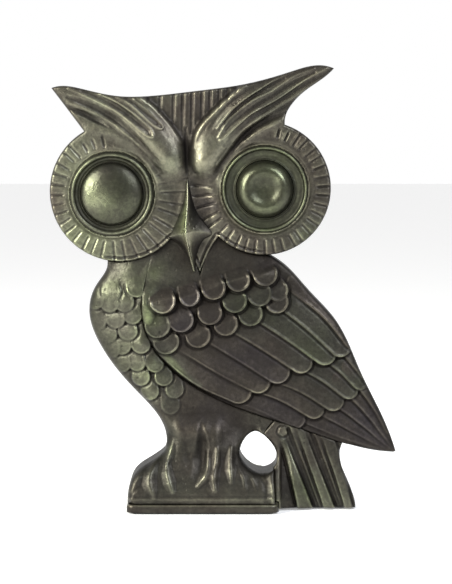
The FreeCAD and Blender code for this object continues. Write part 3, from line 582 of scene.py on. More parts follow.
def right_brow(relief):
    relief.puff([(37, 148), (28, 148), (20, 146.4), (6.5, 142), (0.8, 137), (-4.4, 131.8),
                 (-8.8, 127.2), (-10.8, 122.0), (-11.3, 116.4), (-9.9, 112.6), (-6.6, 110.9),
                 (-3.4, 112.6), (-0.2, 117.0), (3.2, 121.8), (6.8, 126.0), (11.4, 129.4),
                 (16.6, 132.8), (22.6, 136.4), (28.7, 140.4), (34.6, 144.6)],
                lambda X, Z: 1.2 + 2.5 * ease(26, -3, X), 4.5)
    relief.ridge([(34.2, 145.3), (28.0, 142.1), (21.4, 138.1), (14.8, 134.0), (8.8, 130.2),
                  (3.6, 125.6), (0.2, 121.0)], [1.4, 2.8, 3.2, 2.8, 1.6], [-0.2, -0.6, -0.7, -0.5, -0.1])
    relief.ridge([(33.4, 143.9), (28.7, 140.8), (22.6, 136.8), (16.6, 133.1), (11.3, 129.8),
                  (6.6, 126.3), (3.2, 122.3), (0.4, 118.2), (-2.1, 115.0)],
                 [1.6, 2.2, 2.2, 1.8], [0.25, 0.5, 0.5, 0.45, 0.3])
    fingers = [[(22.5, 145.3), (16.2, 142.4), (11.9, 139.7), (7.3, 136.9), (3.2, 133.6), (-0.1, 129.7),
                (-2.3, 126.7)],
               [(29.5, 146.2), (23.3, 144.1), (18.6, 141.1), (14.6, 138.5), (9.9, 136.3), (5.2, 133.0),
                (1.2, 129.2), (-0.8, 125.9), (-1.9, 123.9)],
               [(34.2, 146.6), (27.9, 143.6), (22.6, 139.9), (18.0, 136.7), (13.3, 134.0),
                (8.6, 131.4), (4.6, 128.0), (0.6, 124.2), (-1.4, 122.9)]]
    for finger in fingers:
        relief.ridge(finger, 1.0, [0.3, 0.45, 0.5, 0.5, 0.35])
    relief.ridge([(19.6, 143.3), (13.0, 139.6), (7.8, 135.9), (3.6, 132.3), (0.2, 128.6)],
                 [1.4, 2.0, 2.0, 1.4], [-0.3, -0.5, -0.5, -0.3])
    relief.ridge([(29.6, 145.0), (22.6, 141.6), (16.4, 137.7), (10.0, 133.9), (4.6, 130.0), (0.4, 126.0)],
                 [1.4, 2.4, 2.4, 1.8, 1.2], [-0.3, -0.65, -0.65, -0.5, -0.3])
    relief.ridge([(13.0, 142.2), (7.4, 138.9), (2.6, 135.4), (-1.6, 131.0), (-4.4, 126.8)],
                 2.2, [-0.1, -0.4, -0.45, -0.1])
    relief.ridge([(7.0, 141.0), (2.6, 137.6), (-0.8, 134.8), (-4.2, 131.4), (-7.2, 128.2),
                  (-9.4, 124.2), (-10.2, 120.4)], [1.8, 2.8, 3.2, 2.6], [0.5, 0.9, 0.9, 0.3])
    relief.ridge([(21.4, 132.4), (15.3, 129.9), (10.2, 127.1), (5.6, 123.1), (3.0, 119.8)],
                 [1.6, 3.0, 2.6, 1.6], [-0.3, -0.8, -0.75, -0.3])
    relief.ridge([(20.4, 130.2), (15.3, 127.7), (10.6, 125.0), (7.0, 122.4)], 1.8, [0.2, 0.35, 0.2])
    relief.ridge([(-10.6, 113.2), (-7.6, 110.3), (-4.0, 110.6), (-0.8, 113.6)], 3.2,
                 [-0.3, -0.65, -0.6, -0.2])


def bridge(relief):
    """The crease between the brows, and the recess on the right of the beak."""
    relief.ridge([(-12.6, 127.0), (-12.4, 120.0), (-12.0, 112.0)], [1.4, 2.6, 2.0], [-0.3, -0.5, -0.4])
    relief.puff([(-11.2, 110.8), (-6.6, 109.0), (-4.6, 104.0), (-4.4, 98.6), (-3.8, 93.4), (-8.6, 97.0),
                 (-10.9, 103.0)], -1.3, 2.4)
    relief.puff([(-20.6, 108.8), (-15.2, 109.0), (-13.4, 106.0), (-15.4, 99.0), (-18.2, 93.4),
                 (-20.2, 92.4), (-17.2, 100.0)], -0.5, 2.0)


# ---------------------------------------------------------------- body, wing and tail
def with_neck(X, Z, height):
    """Rounds the top back under the head, where body and wing share one smooth neck."""
    shoulder = barrel(X, Z, (-30, 60), (30, 60), 9.4, 9.4, 50.0)
    height = np.minimum(height, np.where(Z > 60, shoulder, FAR))
    neck = 7.4 - 2.2 * ease(76, 92, Z) - 2.6 * ease(-30, -41, X) - 2.2 * ease(8, 24, X)
    return height + ease(70, 80, Z) * (neck - height)


def breast_ground(X, Z):
    return with_neck(X, Z, barrel(X, Z, (-31, 78), (-8, 24), 7.8, 7.6, 30.0))


def wing_ground(X, Z):
    return with_neck(X, Z, barrel(X, Z, (-4, 68), (52, 24), 8.2, 3.8, 130.0))


# Tips of the breast's scales, lowest first.
BREAST_TIPS = [(-17.8, 32.2), (-24.6, 36.9), (-16.4, 37.5), (-27.6, 41.6), (-20.0, 41.6),
               (-33.8, 46.0), (-28.9, 46.5), (-22.9, 46.2), (-37.6, 50.6), (-34.0, 51.9), (-27.5, 52.4),
               (-38.7, 55.7), (-31.9, 56.7), (-42.4, 59.5), (-36.0, 60.7), (-30.2, 62.2),
               (-42.9, 66.9), (-37.9, 66.0), (-33.0, 66.3), (-29.0, 71.2), (-37.4, 69.6)]


def body_relief():
    relief = Relief(OUTLINES["body_casting"], 0)
    X, Z = relief.X, relief.Z
    belly = barrel(X, Z, (-18, 44), (-6, 20), 8.0, 9.2, 17.0) - 3.0 * ease(38, 50, Z)
    relief.h = smooth_max(breast_ground(X, Z), belly, 1.5)
    wing = OUTLINES["wing_casting"]
    from_wing, _, _ = distance_to(np.vstack([wing, wing[:1]]), X, Z)
    valley = wing_ground(X, Z) + 0.2 + 0.35 * from_wing
    relief.h -= ease(70, 62, Z) * ease(26, 33, Z) * (relief.h + smooth_max(-relief.h, -valley, 1.0))
    ground = relief.h.copy()
    for x, z in BREAST_TIPS:
        shown = 0.35 + 0.65 * ease(30, 44, z)
        width = 6.2 if z < 50 else 6.8
        spine = [(x - 1.1, z + 9.0), (x - 0.4, z + 6.0), (x, z + width / 2)]
        relief.tile(ground, spine, [0.7 * width, 0.9 * width, width], [-0.4, 0.05, 0.66 * shown],
                    0.0, 0.14 * shown, 0.25 * shown, 0.0, 0.4, 0.36 * shown, 0.45)
    relief.soften((-37.0, 75.0, 3.4), (-31.0, 76.5, 2.6))
    front_roll(relief, ground, 66)
    legs_and_mound(relief)
    relief.round_edge("body_casting", 3.4, 0.35)
    relief.edge_r += ease(66, 76, Z) * ease(-35, -30, X) * (0.1 - relief.edge_r)
    relief.edge_r += ease(7.5, 4.5, Z) * ease(-31.5, -29.5, X) * (0.3 - relief.edge_r)
    relief.weather(0.045)
    relief.tone += 0.14 * bump(Z - 4.6, 1.4) - 0.05 * ease(40, 28, Z)
    relief.paint((-38, 66, 15, 0.06, 0.2), (-28, 47, 11, 0.10, 0.4), (-31, 78, 8, 0.05, 0.4),
                 (-10, 35, 11, -0.08, -0.8), (-20, 22, 6, 0.08, 0.7), (-7, 22, 5, -0.12, 0.0),
                 (8, 10, 9, -0.07, 0.0), (-22, 8, 9, -0.05, 0.2), (4, 30, 6, -0.06, -0.4))
    return relief


def legs_and_mound(relief):
    X, Z = relief.X, relief.Z
    mound = 14.0 - 1.2 * ease(6.5, 11.0, Z) - 4.4 * ease(9.0, 21.0, Z) - 4.0 * ease(20.0, 28.0, Z)
    relief.h = smooth_max(relief.h, mound, 1.6)
    # Two legs with a hollow between them.
    relief.ridge([(-7.8, 29.0), (-7.4, 23.0), (-7.8, 16.0), (-9.0, 12.5)], [2.4, 5.0, 6.5, 5.0],
                 [-0.2, -1.5, -1.3, -0.3])
    relief.ridge([(-15.4, 30.0), (-15.0, 22.0), (-14.4, 16.0)], [4.0, 6.0, 6.0], [0.2, 0.6, 0.2])
    relief.ridge([(-2.2, 30.0), (-2.6, 23.0), (-2.6, 17.0)], [4.0, 5.0, 5.0], [0.1, 0.6, 0.3])
    # The front of the mound: a worn line above the base, and a soft lip at its right-hand end.
    relief.h += 0.22 * bump(Z - 5.0, 0.9) * ease(17.0, 15.0, X)
    relief.ridge([(16.0, 3.6), (16.0, 8.0), (15.4, 12.4)], 2.2, [0.5, 0.6, 0.3])
    relief.ridge([(13.8, 4.6), (13.8, 9.0), (12.8, 12.6)], 2.8, [-0.3, -0.4, -0.2])
    toes = [
        ([(-17.1, 24.0), (-18.0, 19.6), (-19.3, 15.7)], 2.4, 0.9),
        ([(-22.0, 18.4), (-24.0, 14.6), (-24.6, 10.6), (-23.2, 5.8)], 3.4, 1.2),
        ([(-18.8, 16.4), (-18.6, 12.4), (-16.9, 7.4)], 3.0, 1.2),
        ([(-26.4, 14.6), (-29.4, 11.0), (-30.8, 7.6)], 3.0, 0.9),
        ([(-5.4, 20.0), (-5.7, 13.6), (-8.6, 9.3)], 2.6, 1.1),
        ([(-2.1, 21.0), (-2.7, 16.6), (-3.5, 12.4), (-2.9, 7.8)], 2.8, 1.2),
        ([(2.4, 21.4), (2.0, 16.4), (2.4, 10.6)], 2.6, 1.1),
    ]
    for path, width, height in toes:
        relief.ridge(path, [width, 1.9 * width, 2.0 * width, 1.2 * width], [-0.1, -0.3, -0.3, 0.0])
        relief.ridge(path, [0.9 * width, 1.5 * width, 1.7 * width, 0.8 * width],
                     height * np.array([0.3, 1.0, 1.1, 0.3]))
        relief.ridge(path, 0.8 * width, 0.14 * height)
    for x0, z0, x1, z1 in ((4.6, 15.0, 7.0, 8.2), (7.0, 14.2, 10.6, 8.4), (10.4, 13.4, 14.0, 9.4)):
        relief.ridge([(x0, z0), ((x0 + x1) / 2 + 0.5, (z0 + z1) / 2 + 0.6), (x1, z1)], 1.8, [0.1, 0.4, 0.1])


# Scales of the wing, lowest row first: tip x, tip z, radius, heading in degrees, olive tint.
COVERT_ROWS = [
    [(-17.8, 52.5, 4.5, -72, 0.5), (-6.6, 55.0, 4.3, -62, -0.1), (2.2, 58.9, 4.2, -66, -0.2),
     (10.6, 62.2, 4.2, -62, 0.9), (19.6, 66.5, 4.0, -56, -0.1)],
    [(-21.2, 57.8, 4.4, -80, 0.4), (-12.9, 59.9, 4.3, -72, -0.6), (-4.0, 62.2, 4.2, -80, -0.2),
     (5.2, 66.5, 4.2, -66, 1.0), (13.7, 68.8, 4.2, -60, 0.5), (19.4, 70.4, 3.7, -60, 0.0)],
    [(-19.2, 66.1, 4.4, -76, -0.6), (-10.2, 68.5, 3.6, -70, -0.6), (-2.0, 70.8, 4.2, -68, -0.2),
     (5.8, 73.3, 4.1, -72, 0.0), (15.7, 75.5, 4.2, -58, 0.0)],
]
# Feathers, tier by tier, the lowest of each first: spine points, width, olive tint.
PRIMARIES = [([(12, 33), (30.0, 26.6), (55.8, 19.0)], 6.4, -0.3),
             ([(22, 34), (38.0, 27.0), (56.2, 19.4)], 5.4, -0.5),
             ([(30, 35.6), (43.0, 28.4), (56.6, 19.6)], 5.0, -0.6),
             ([(34, 40.0), (46.4, 30.6), (56.8, 19.8)], 5.0, -0.7),
             ([(38, 44.0), (48.6, 33.4), (57.0, 20.2)], 4.6, -0.5),
             ([(41, 48.0), (50.6, 35.6), (57.4, 21.0)], 4.2, -0.2)]
TERTIARIES = [([(-6.0, 39.6), (8.0, 33.8), (20.0, 28.2)], 6.8, -0.4),
              ([(1.0, 40.8), (14.0, 35.6), (26.2, 29.2)], 6.6, -0.5),
              ([(8.0, 44.2), (20.0, 39.8), (32.4, 32.6)], 7.2, 0.0),
              ([(15.0, 47.6), (27.0, 42.6), (38.8, 35.2)], 7.4, 0.2),
              ([(23.4, 52.0), (34.0, 46.0), (43.6, 38.8)], 6.8, 0.3),
              ([(31.0, 55.2), (39.6, 48.6), (46.8, 41.4)], 5.8, 0.6),
              ([(36.0, 60.0), (43.8, 50.4), (49.6, 43.4)], 5.0, 0.2)]
SECONDARIES = [([(-21.0, 57.5), (-8.0, 46.4), (8.2, 38.6)], 9.4, -0.2),
               ([(-14.0, 58.0), (0.0, 49.4), (14.4, 41.8)], 8.6, -0.1),
               ([(-5.0, 61.0), (8.0, 53.0), (20.6, 44.8)], 8.6, -0.4),
               ([(1.6, 65.0), (15.0, 56.8), (28.2, 48.0)], 8.0, 0.1),
               ([(8.6, 69.6), (22.6, 60.4), (36.0, 50.6)], 8.2, 0.9),
               ([(16.0, 73.6), (28.4, 64.2), (40.8, 52.8)], 7.4, 0.7),
               ([(24.0, 75.6), (35.0, 66.6), (44.6, 55.0)], 6.6, -0.2)]


def front_roll(relief, ground, bottom=0):
    """The smooth roll along the wing's front edge, from the neck down to bottom."""
    path = smooth_path([(-21.0, 82.0), (-24.6, 76.0), (-25.6, 69.6), (-24.9, 62.8), (-22.2, 56.6),
                        (-17.4, 49.8), (-12.6, 45.2), (-8.0, 42.0)])
    part, away, t, _ = relief.window(path, 5)
    rolled = ground[part] + along_values([0.0, 0.5, 1.0, 1.3, 1.2, 1.1, 0.9, 0.6], t)
    cover = bump(away, along_values([4.0, 4.4, 3.8, 2.9, 2.2, 1.8, 1.6, 1.2], t)) ** 0.6
    cover *= ease(bottom, bottom + 7, relief.Z[part])
    shown = cover * ease(0.0, 0.1, t)
    relief.h[part] += cover * np.maximum(rolled - relief.h[part], 0)
    relief.tone[part] += shown * (0.12 - relief.tone[part])
    relief.hue[part] += shown * (0.7 - relief.hue[part])


def wing_relief():
    relief = Relief(OUTLINES["wing_casting"], 0)
    X, Z = relief.X, relief.Z
    relief.h = wing_ground(X, Z)
    ground = relief.h.copy()
    for k, (spine, width, hue) in enumerate(PRIMARIES):
        relief.tile(ground, spine, [width, width, 0.95 * width, 0.7 * width, 0.25 * width],
                    [0.10 + 0.1 * k, 0.15 + 0.1 * k, 0.2 + 0.04 * k], 0.28, 0.18, 0.12, -0.02, hue)
    for tier, raised, high in ((TERTIARIES, 0.45, 0.9), (SECONDARIES, 0.75, 1.25)):
        for spine, width, hue in tier:
            end = np.array(spine[-1]) - 0.42 * width * unit(np.subtract(spine[-1], spine[-2]))
            relief.tile(ground, [*spine[:-1], tuple(end)], width, [raised - 0.5, raised, high],
                        0.42, 0.24, 0.15, 0.0, hue)
    front_roll(relief, ground)
    for row, lift in zip(COVERT_ROWS, (1.55, 1.7, 1.75)):
        for x, z, r, heading, hue in row:
            towards = np.array([math.cos(math.radians(heading)), math.sin(math.radians(heading))])
            end = np.array([x, z]) - r * towards
            relief.tile(ground, [tuple(end - 5.0 * towards), tuple(end - 2.5 * towards), tuple(end)],
                        [1.3 * r, 1.8 * r, 2 * r], [-0.5, 0.4 * lift, lift], 0.0, 0.32, 0.0, -0.09, hue,
                        0.26, 0.6)
    # The smooth shoulder under the chin runs down between the first scales.
    neck = ease(75.5, 80.0, Z - 0.16 * (X + 4))
    relief.h += neck * (ground - relief.h)
    relief.round_edge("wing_casting", 1.5, 0.3)
    relief.edge_r += ease(66, 76, Z) * ease(10, -6, X) * (0.1 - relief.edge_r)
    relief.weather(0.045)
    relief.tone -= 0.04 + 0.06 * ease(-24, -14, X)
    relief.hue -= 0.25 * ease(-24, -14, X)
    relief.paint((4, 82, 13, -0.08, 0.1), (-8, 64, 10, -0.07, -0.3), (-19, 80, 6, 0.04, 0.6),
                 (-24, 64, 5, 0.14, 0.7), (-16, 48, 5, 0.12, 0.6), (0, 46, 9, -0.08, -0.4),
                 (28, 56, 8, 0.03, 0.3), (38, 41, 8, 0.04, 0.2), (20, 32, 8, -0.02, -0.3),
                 (50, 27, 8, 0.0, -0.4), (12, 50, 8, -0.07, -0.2))
    return relief


def unit(v):
    return np.array(v) / math.hypot(*v)


def tail_relief():
    relief = Relief(OUTLINES["tail_casting"], 4.2)
    X, Z = relief.X, relief.Z
    # The foot comes forward, most of all beside the base.
    relief.h += (3.4 * ease(30, 16, X) + 1.6) * ease(24, 1, Z)
    relief.h -= 1.1 * ease(18.0, 19.4, X) * ease(25.5, 23.0, X + 0.2 * Z) * ease(23, 17, Z)
    ground = relief.h.copy()
    plumes = [([(18.2, 25.4), (20.6, 20.6), (27.6, -1.4)], [1.6, 2.6, 4.0, 5.2], 0.8, 0.5),
              ([(24.4, 30.0), (26.4, 24.0), (35.8, -1.4)], [2.4, 2.8, 3.2, 3.6], 0.6, 0.3),
              ([(31.4, 29.0), (35.6, 21.0), (42.0, -1.4)], [3.4, 4.0, 3.0, 2.4], 0.6, 0.2)]
    for spine, width, lift, hue in plumes:
        relief.tile(ground, spine, width, [0.0, lift, lift], 0.0, 0.06, 0.3, -0.06, hue, 0.5)
    for top, bottom in (((21.2, 27.0), (31.6, -1.0)), ((28.2, 28.0), (38.9, -1.0))):
        relief.ridge([top, bottom], [1.8, 2.8], [-0.9, -1.1])
        relief.ridge([top, bottom], [0.7, 1.0], [0.4, 0.5])
    # The root of the tail thickens to carry the rivet and meet the body.
    relief.puff([(11, 25), (15, 31), (24, 31), (23.6, 26.4), (19.6, 23.4), (16.0, 20.0)], 0.9, 3.0)
    x, z = middle_of("tail_rivet")
    relief.h -= 0.5 * bump(np.hypot(X - x, Z - z) - 2.0, 0.7)
    relief.round_edge("tail_casting", 1.2, 0.5)
    relief.weather(0.045)
    relief.paint((20, 8, 6, -0.12, -0.2), (28, 8, 5, 0.04, 0.5), (31, 24, 6, -0.10, -0.2),
                 (15, 26, 5, -0.06, -0.3))
    return relief


# ---------------------------------------------------------------- beak
def beak_relief():
    outline = smooth_path([(-12.1, 110.8), (-13.0, 104.5), (-14.8, 99.0), (-17.5, 92.8),
                           (-18.4, 91.0), (-16.4, 90.0), (-14.2, 88.0), (-12.5, 85.4), (-11.4, 82.8),
                           (-10.4, 80.0), (-9.9, 79.3), (-9.5, 80.2), (-9.2, 84.0), (-8.3, 87.4),
                           (-6.7, 90.2), (-3.8, 92.2), (-6.0, 95.4), (-9.0, 99.4), (-10.8, 105.0)],
                          closed=True, steps=5)
    relief = Relief(outline, 6.0, 0.16)
    keel = smooth_path([(-12.1, 110.6), (-12.0, 103.0), (-12.5, 94.0), (-11.6, 87.0), (-9.9, 79.8)])
    away, t, _ = distance_to(keel, relief.X, relief.Z)
    crest = along_values([8.2, 9.6, 11.0, 12.6, 13.6, 12.8, 11.4, 9.4], t)
    share = away / (away + np.maximum(relief.depth, 0) + 0.05)
    bulge = 0.9 - 0.22 * ease(90, 86, relief.Z)
    relief.h = crest - (crest - 7.2) * share ** bulge
    relief.h -= 0.25 * bump(away, 0.6)
    relief.weather(0.03)
    # The whole beak is a little lighter. Its left facet is painted lighter still and its upper right darker:
    # painted light and shade, as if lit from the left. The left facet is also tinted olive.
    lit_left_facet = ease(-11.8, -12.8, relief.X) * ease(89, 96, relief.Z)
    relief.tone += 0.16 + 0.12 * lit_left_facet - 0.20 * (1 - lit_left_facet) * ease(92, 97, relief.Z)
    relief.hue += 1.3 * lit_left_facet
    return relief


# ---------------------------------------------------------------- turned and flat pieces
def ring_mesh(name, rings, values, patches=()):
    """A closed mesh over a stack of rings, each end shut by a fan around its middle.

    Values holds one number per ring for each attribute. Patches paint highlights and shade onto the tone: x,
    z, radius and how light.
    """
    count, segments = len(rings), len(rings[0])
    index = np.arange(count * segments).reshape(count, segments)
    faces = []
    for a, b in zip(index, index[1:]):
        faces += np.stack([a, np.roll(a, -1), np.roll(b, -1), b], 1).tolist()
    first, last = count * segments, count * segments + 1
    faces += [[first, b, a] for a, b in zip(index[0], np.roll(index[0], -1))]
    faces += [[last, a, b] for a, b in zip(index[-1], np.roll(index[-1], -1))]
    points = np.vstack([*rings, rings[0].mean(0), rings[-1].mean(0)])
    mesh = bpy.data.meshes.new(name)
    mesh.from_pydata((points * MM).tolist(), [], [[int(v) for v in face] for face in faces])
    mesh.polygons.foreach_set("use_smooth", [True] * len(mesh.polygons))
    for label, levels in values.items():
        spread = np.concatenate([np.repeat(levels, segments), levels[:1], levels[-1:]])
        # The patches paint highlights and painted shade onto the tone.
        if label == "tone":
            for x, z, radius, tone in patches:
                spread += tone * np.exp(-((points[:, 0] - x) ** 2 + (points[:, 2] - z) ** 2) / radius ** 2)
        add_values(mesh, label, spread)
    mesh.update()
    piece = placed(name, mesh)
    return piece


def turned_mesh(name, centre, profile, wobble, seed, hue, patches=(), segments=144):
    """A solid turned about the Y line through centre, from a list of (radius, height, wear, tone)."""
    angles = np.linspace(0, 2 * math.pi, segments, endpoint=False)
    rng = np.random.default_rng(seed)
    waves = [(k, rng.uniform(0, 6.28), rng.normal(0, wobble)) for k in (2, 3, 5, 7)]
    stray = sum(size * np.cos(k * angles + start) for k, start, size in waves)
    rings = []
    for r, height, _, _ in profile:
        swing = stray * min(r / profile[0][0], 1) * (height > profile[0][1] + 0.5)
        rings.append(np.stack([centre[0] + (r + 0.5 * swing) * np.cos(angles), -(height + swing),
                               centre[1] + (r + 0.5 * swing) * np.sin(angles)], 1))
    levels = np.array(profile)
    # The patches of painted highlight and painted shade, moved onto the centre.
    placed = [(centre[0] + dx, centre[1] + dz, radius, tone) for dx, dz, radius, tone in patches]
    return ring_mesh(name, rings, {"wear": levels[:, 2], "tone": levels[:, 3],
                                         "hue": np.full(len(levels), hue)}, placed)


def smooth_profile(key, steps):
    return [tuple(row) for row in smooth_path(key, steps=steps)]


def bezel_profile(r, top, moat_r, shoulder):
    """A raised ring whose crest stands a shoulder in from its edge, and a slope down to the moat."""
    floor = SOCKET_HEIGHT + 0.05
    moat = EYE_SEAT
    crest = r - shoulder
    inner = crest - 1.05
    run = inner - moat_r - 0.3
    edge = [(r - 0.02, floor, 0.35, 0.0), (r, top - 1.4, 0.35, -0.05),
            (r - 0.35 * shoulder, top - 0.6, 0.48, 0.0), (crest, top, 0.66, 0.08),
            (crest - 0.5, top - 0.15, 0.6, 0.06), (inner, top - 0.9, 0.44, 0.0),
            (inner - 0.4 * run, top - 1.15, 0.5, 0.0), (inner - 0.8 * run, top - 1.5, 0.46, 0.0),
            (moat_r + 0.3, moat + 0.2, 0.42, 0.03), (moat_r + 0.02, moat, 0.4, 0.02),
            (moat_r - 0.6, moat - 0.1, 0.36, 0.0), (0.4, moat - 0.1, 0.36, 0.0)]
    return smooth_profile(edge, 5)


def dome_profile(r, seat, top):
    """A steep-sided dome."""
    angles = np.radians(np.linspace(0, 86, 24))
    side = [(r * math.cos(a), seat + (top - seat) * math.sin(a) ** 0.95, 0.44 + 0.12 * math.sin(a), 0.0)
            for a in angles]
    return [(r * 0.98, seat - 0.4, 0.3, -0.1), *side]


def dished_profile(r, seat, top):
    """A flatter dome whose middle is hollowed."""
    rise = top - seat
    side = [(r * 0.98, seat - 0.4, 0.3, -0.1), (r, seat, 0.35, -0.05),
            (r - 0.3, seat + 0.3 * rise, 0.42, 0.0), (r - 1.2, seat + 0.66 * rise, 0.5, 0.02),
            (r - 2.4, seat + 0.92 * rise, 0.56, 0.03),
            (0.62 * r, top, 0.54, 0.0), (0.5 * r, top - 0.25, 0.5, 0.0), (0.34 * r, top - 0.9, 0.46, 0.0),
            (0.12 * r, top - 1.25, 0.44, 0.0), (0.2, top - 1.3, 0.44, 0.0)]
    return smooth_profile(side, 5)


def rounded_loop(x, y, half_x, half_y, corner, z, points=9):
    """A rounded rectangle, as points in a level plane."""
    loop = []
    for turn, (sx, sy) in enumerate(((1, 1), (-1, 1), (-1, -1), (1, -1))):
        for k in range(points):
            a = math.radians(90 * turn + 90 * k / (points - 1))
            loop.append((x + sx * (half_x - corner) + corner * math.cos(a),
                         y + sy * (half_y - corner) + corner * math.sin(a), z))
    return np.array(loop)


def base_piece(name, node, corner):
    """The base plate with its worn, softly rounded upper edge."""
    low, high = (np.array(c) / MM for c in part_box(node))
    x, y = (low[0] + high[0]) / 2, (low[1] + high[1]) / 2
    half_x, half_y = (high[0] - low[0]) / 2, (high[1] - low[1]) / 2
    levels = [(6.0, low[2], 0.3), (0.15, low[2], 0.3), (0.0, low[2] + 0.15, 0.42), (0.0, high[2] - 0.9, 0.46),
              (0.06, high[2] - 0.5, 0.62), (0.28, high[2] - 0.16, 0.86), (0.7, high[2], 0.66),
              (1.6, high[2], 0.4), (3.2, high[2], 0.28), (9.0, high[2], 0.25)]
    rings, wear = [], []
    for inset, z, worn in levels:
        rings.append(rounded_loop(x, y, half_x - inset, half_y - inset, max(corner - inset, 0.3), z))
        wear.append(worn)
    wear = np.array(wear)
    return ring_mesh(name, rings, {"wear": wear, "tone": np.zeros(len(wear)),
                                         "hue": np.full(len(wear), -0.1)})


# ---------------------------------------------------------------- materials
class Shading:
    """A material being made: its Principled shader and the nodes that feed it."""

    def __init__(self, name, settings):
        self.material = bpy.data.materials.new(name)
        self.material.use_nodes = True
        self.nodes = self.material.node_tree.nodes
        self.links = self.material.node_tree.links
        self.shader = self.nodes["Principled BSDF"]
        for label, value in settings.items():
            self.shader.inputs[label].default_value = value

    def node(self, kind, sources=None, **settings):
        """A node with its inputs or properties set, and sources linked to its inputs."""
        node = self.nodes.new(kind)
        for key, value in settings.items():
            if key in node.inputs:
                node.inputs[key].default_value = value
            else:
                setattr(node, key, value)
        for label, source in (sources or {}).items():
            self.links.new(source, node.inputs[label])
        return node

    def place(self):
        """The piece's own coordinates, in metres."""
        return self.node("ShaderNodeTexCoord").outputs["Object"]

    def noise(self, coordinates, size, detail=4.0, roughness=0.6):
        """Noise whose features are about size metres across."""
        return self.node("ShaderNodeTexNoise", {"Vector": coordinates}, Scale=0.5 / size, Detail=detail,
                         Roughness=roughness).outputs["Fac"]

    def maths(self, operation, *terms):
        node = self.node("ShaderNodeMath", operation=operation)
        for socket, value in zip(node.inputs, terms):
            if isinstance(value, (int, float)):
                socket.default_value = value
            else:
                self.links.new(value, socket)
        return node.outputs[0]

    def ramp(self, value, stops):
        node = self.node("ShaderNodeValToRGB")
        elements = node.color_ramp.elements
        while len(elements) < len(stops):
            elements.new(0.5)
        for element, (place, colour) in zip(elements, stops):
            element.position = place
            element.color = (*colour, 1)
        self.links.new(value, node.inputs[0])
        return node.outputs[0]

    def multiplied(self, a, b):
        node = self.node("ShaderNodeMix", data_type="RGBA", blend_type="MULTIPLY")
        node.inputs[0].default_value = 1.0
        self.links.new(a, node.inputs[6])
        self.links.new(b, node.inputs[7])
        return node.outputs[2]

    def finish(self, sources, height, strength, distance):
        """Feeds the shader, with the height as its bump, and gives back the material."""
        bumped = self.node("ShaderNodeBump", {"Height": height}, Strength=strength, Distance=distance)
        for label, source in {**sources, "Normal": bumped.outputs[0]}.items():
            self.links.new(source, self.shader.inputs[label])
        return self.material


def patina(name, shades, metallic=0.85, rough=0.42, gain=1.0, pits=1.0, carried=True):
    """Antiqued brass: dark in the recesses, worn on what stands proud, with casting pits.

    Carried is whether the piece has its own wear, tone and hue; without, the metal is plain.
    """
    s = Shading(name, {"Metallic": metallic})
    place = s.place()
    broad = s.noise(place, 0.012, 3.0)
    blotch = s.noise(place, 0.0024, 5.0, 0.65)
    grain = s.noise(place, 0.0006, 3.0, 0.7)
    value = s.maths("MULTIPLY_ADD", broad, 0.22, -0.11)
    for source, share in ((blotch, 0.34), (grain, 0.26)):
        value = s.maths("ADD", value, s.maths("MULTIPLY_ADD", source, share, -share / 2))
    hue = s.maths("MULTIPLY_ADD", s.noise(place, 0.006, 2.0), 0.9, -0.45)
    if carried:
        wear, tone, own_hue = (s.node("ShaderNodeAttribute", attribute_name=label).outputs["Fac"]
                               for label in ("wear", "tone", "hue"))
        value = s.maths("ADD", value, s.maths("MULTIPLY_ADD", wear, gain, 0.5 - gain / 2))
        value = s.maths("ADD", value, tone)
        hue = s.maths("MULTIPLY_ADD", own_hue, 0.5, hue)
    else:
        value = s.maths("ADD", value, 0.5)
    # From purple-brown through brown to olive.
    tint = s.ramp(s.maths("MULTIPLY_ADD", hue, 0.6, 0.45),
                  [(0.0, (0.98, 0.90, 1.12)), (0.3, (1.06, 0.95, 0.92)),
                   (0.55, (1.0, 1.0, 0.94)), (1.0, (0.92, 1.10, 0.70))])
    sources = {"Base Color": s.multiplied(s.ramp(value, shades), tint),
               "Roughness": s.maths("MULTIPLY_ADD", value, -0.30, rough + 0.15)}
    return s.finish(sources, casting_height(s, place, grain, blotch, pits), 0.5, 0.00012)


def casting_height(s, place, grain, blotch, pits):
    """Sand grain and scattered pits."""
    cells = s.node("ShaderNodeTexVoronoi", {"Vector": place}, Scale=430.0)
    pit = s.node("ShaderNodeMapRange", {"Value": cells.outputs["Distance"]},
                 **{"From Max": 0.2, "To Min": -1.2 * pits, "To Max": 0.0})
    return s.maths("MULTIPLY_ADD", blotch, 1.6, s.maths("ADD", pit.outputs[0], grain))


def blend_of(s, a, share_a, b, share_b):
    return s.maths("ADD", s.maths("MULTIPLY", a, share_a), s.maths("MULTIPLY", b, share_b))


def brushed(name, colour, metallic, rough, stretch):
    """Sheet or wrought metal with fine lines along one direction and dull blotches."""
    s = Shading(name, {"Metallic": metallic})
    place = s.place()
    stretched = s.node("ShaderNodeMapping", {"Vector": place}, Scale=stretch).outputs[0]
    lines = s.noise(stretched, 0.0004, 4.0, 0.7)
    both = blend_of(s, lines, 0.5, s.noise(place, 0.006, 4.0), 0.5)
    shade = s.ramp(both, [(0.3, tuple(0.45 * c for c in colour)), (0.5, colour),
                          (0.72, tuple(min(1.35 * c, 1) for c in colour))])
    sources = {"Base Color": shade, "Roughness": s.maths("MULTIPLY_ADD", both, -0.3, rough + 0.15)}
    return s.finish(sources, lines, 0.3, 0.00005)


def felt():
    s = Shading("felt", {"Sheen Weight": 0.4, "Roughness": 0.95})
    place = s.place()
    fibres = s.noise(place, 0.0004, 6.0, 0.75)
    both = blend_of(s, fibres, 0.6, s.noise(place, 0.003, 3.0), 0.4)
    shade = s.ramp(both, [(0.3, (0.012, 0.016, 0.012)), (0.7, (0.045, 0.058, 0.043))])
    return s.finish({"Base Color": shade}, fibres, 0.7, 0.0002)


